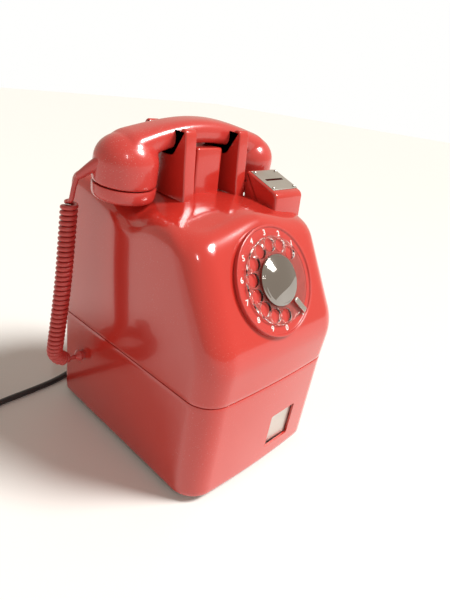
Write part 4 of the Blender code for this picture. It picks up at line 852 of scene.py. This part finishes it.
def handle_points():
    """P(v, u): centre z = -a x^2; section y = w c^0.55, z = h s^0.65 with signs kept, w and h
    growing as (x / L)^2 and (x / L)^4 towards the cups."""
    x = np.linspace(-CUP_X - 6, CUP_X + 6, 61)[:, None]
    u = np.linspace(0, TAU, 48, endpoint=False)[None, :]
    share = np.minimum(np.abs(x) / CUP_X, 1)
    wide, tall = 17.5 * (1 + 0.22 * share ** 3), 11.0 * (1 + 0.30 * share ** 4)
    c, s = np.cos(u), np.sin(u)
    y = np.sign(c) * np.abs(c) ** 0.62 * wide * (1 - 0.10 * s)
    z = np.sign(s) * np.abs(s) ** 0.72 * tall
    return np.stack([x + 0 * u, y, z - ARCH * x * x], -1) * MM


def handset_form():
    """The handle and two domed cups, made one skin on a fine lattice and then eased."""
    scene = bpy.context.scene.collection
    parts = [tidied(surface("handle", handle_points(), round_u=True, caps=True))]
    t = np.linspace(0, 1, 20)
    w = math.pi / 2 * t
    dome = np.stack([CUP_R * np.sin(w) ** 0.92, CROWN + 0.6 - 25 * (1 - np.cos(w))], 1)
    profile = np.concatenate([dome, [(CUP_R, BAND + 1.5), (CUP_R - 1.2, BAND + 0.3), (0, BAND + 0.3)]])
    parts += [turned("cup", profile, 96, at(sx * CUP_X, 0)) for sx in (-1, 1)]
    first = bpy.data.objects.new("handset_form", parts[0])
    scene.objects.link(first)
    others = []
    for mesh in parts[1:]:
        other = bpy.data.objects.new("cup", mesh)
        scene.objects.link(other)
        join = first.modifiers.new("join", "BOOLEAN")
        join.operation, join.solver, join.object = "UNION", "EXACT", other
        others.append(other)
    lattice = first.modifiers.new("lattice", "REMESH")
    lattice.mode, lattice.voxel_size, lattice.use_smooth_shade = "VOXEL", 1.1 * MM, True
    ease = first.modifiers.new("ease", "SMOOTH")
    ease.factor, ease.iterations = 0.5, 22
    graph = bpy.context.evaluated_depsgraph_get()
    made = bpy.data.meshes.new_from_object(first.evaluated_get(graph))
    for thing in (first, *others):
        bpy.data.objects.remove(thing)
    made.materials.clear()
    return made


hollows = [rod("hollow", 26.3, BAND - 5, BAND + 16, at(sx * CUP_X, 0), 64) for sx in (-1, 1)]
form = carved(handset_form(), *hollows, block("trim", (300, 90, 10), (0, 0, BAND - 4.7)))
form.transform(HANDSET)
piece("handset_moulding", form, MOULDING, "handset", "red_plastic", "handset_handle", angle=50)
CAP = [(29.4, BAND - 0.2), (29.6, BAND - 0.9), (29.5, FLOOR + 6), (29.2, FLOOR + 3.6), (28.4, FLOOR + 1.5),
       (27.2, FLOOR + 0.4), (25.6, FLOOR), (22.5, FLOOR), (20.5, FLOOR + 0.4), (17.6, FLOOR + 1.5),
       (0, FLOOR + 2.4), (0, FLOOR + 5.0), (25.5, FLOOR + 5.0), (26.4, BAND - 0.2)]
SOUND_HOLE = 1.15
EAR_RINGS, MOUTH_RINGS = ((1, 0), (6, 6.5)), ((1, 0), (6, 5.2), (12, 10.4))
for name, sx, rings in (("earpiece", -1, EAR_RINGS), ("mouthpiece", 1, MOUTH_RINGS)):
    middle = HANDSET @ at(sx * CUP_X, 0)
    cap = turned(name, CAP, 96, middle, True)
    spots = [middle @ Matrix.Rotation(TAU * i / count, 4, "Z") @ at(radius, 0)
             for count, radius in rings for i in range(count)]
    cap = carved(cap, *[rod("hole", SOUND_HOLE, FLOOR + 0.5, FLOOR + 3.9, spot, 14) for spot in spots])
    piece(f"screw_cap_{name}", cap, MOULDING, "handset", "red_plastic", f"{name}_cap", angle=40)


# ------------------------------------------------------------------ coin return
# A pressed steel pocket behind an opening in the lower front, closed by a hinged aluminium flap.

back, pocket_wall, depth = -3.3, 1.2, 34.0
pocket = block("return_pocket", (42.3 + 2 * pocket_wall, 45.1 + 2 * pocket_wall, depth),
               (0, 0, back - depth / 2), 2.0)
hollow = block("hollow", (42.3, 45.1, depth), (0, 0, back - depth / 2 + pocket_wall), 1.4)
pocket = carved(pocket, hollow)
pocket.transform(RETURN)
piece("return_pocket", pocket, ZINC, "base", "plated_steel", "coin_return_cup")
flap_plan = rounded([(-19.1, -20.5), (19.1, -20.5), (19.1, 20.5), (-19.1, 20.5)], 1.4)
flap = prism("return_flap", flap_plan, -4.0, -2.4, RETURN, 0.4, 4)
piece("return_flap", flap, SATIN_ALUMINIUM, "coin_flap", "aluminium", "coin_return_flap")


# ------------------------------------------------------------------ cash lock
# A chromed barrel lock in the back wall with a brass plug that the key turns.

profile = rounded([(5.4, 1.7), (10.6, 1.7), (11.0, 0.5), (8.0, 0.5), (8.0, -18), (5.4, -18)],
                  [0.2, 0.6, 0.1, 0.1, 0.2, 0.1], 5)
# The lock barrel takes the same darkened chrome, with its painted dark reflection.
piece("lock_body", turned("lock_body", profile, 64, LOCK, True), CHROME_WITH_PAINTED_DARK_REFLECTION, "base", "chrome", "lock_barrel")
lock_plug = carved(turned("key_plug", [(0, 1.4), (4.8, 1.4), (5.1, 1.1), (5.1, -20), (0, -20)], 48),
                   block("keyway", (1.2, 6, 16), (0, 0, 4)))
lock_plug.transform(LOCK)
piece("key_plug", lock_plug, BRASS, "lock", "brass", "lock_plug")


# ------------------------------------------------------------------ insides
# Plated, brass and black moulded works that the housing hides: the dial's gear train, the coin
# chute and cash box, the bell, the hook switch and the speech circuit.

PLATED = ("dial_can", "return_spring_drum", "chassis_plate", "coin_chute", "cash_box", "hook_bar",
          "coin_return_pin", "gong_post_front", "gong_post_rear", "clapper", "dial_shaft",
          "earpiece_capsule", "mouthpiece_capsule")
BRASS_WORKS = ("main_gear", "governor_pinion", "governor_cup", "gong_front", "gong_rear")
MOULDED = ("pulse_contacts", "hook_switch", "ringer_coil", "speech_network")
for material, slot, nodes in ((ZINC, "plated_steel", PLATED), (BRASS, "brass", BRASS_WORKS),
                              (BLACK_MOULDING, "black_plastic", MOULDED)):
    for node in nodes:
        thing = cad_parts[node]
        thing.data.materials.clear()
        thing.data.materials.append(material)
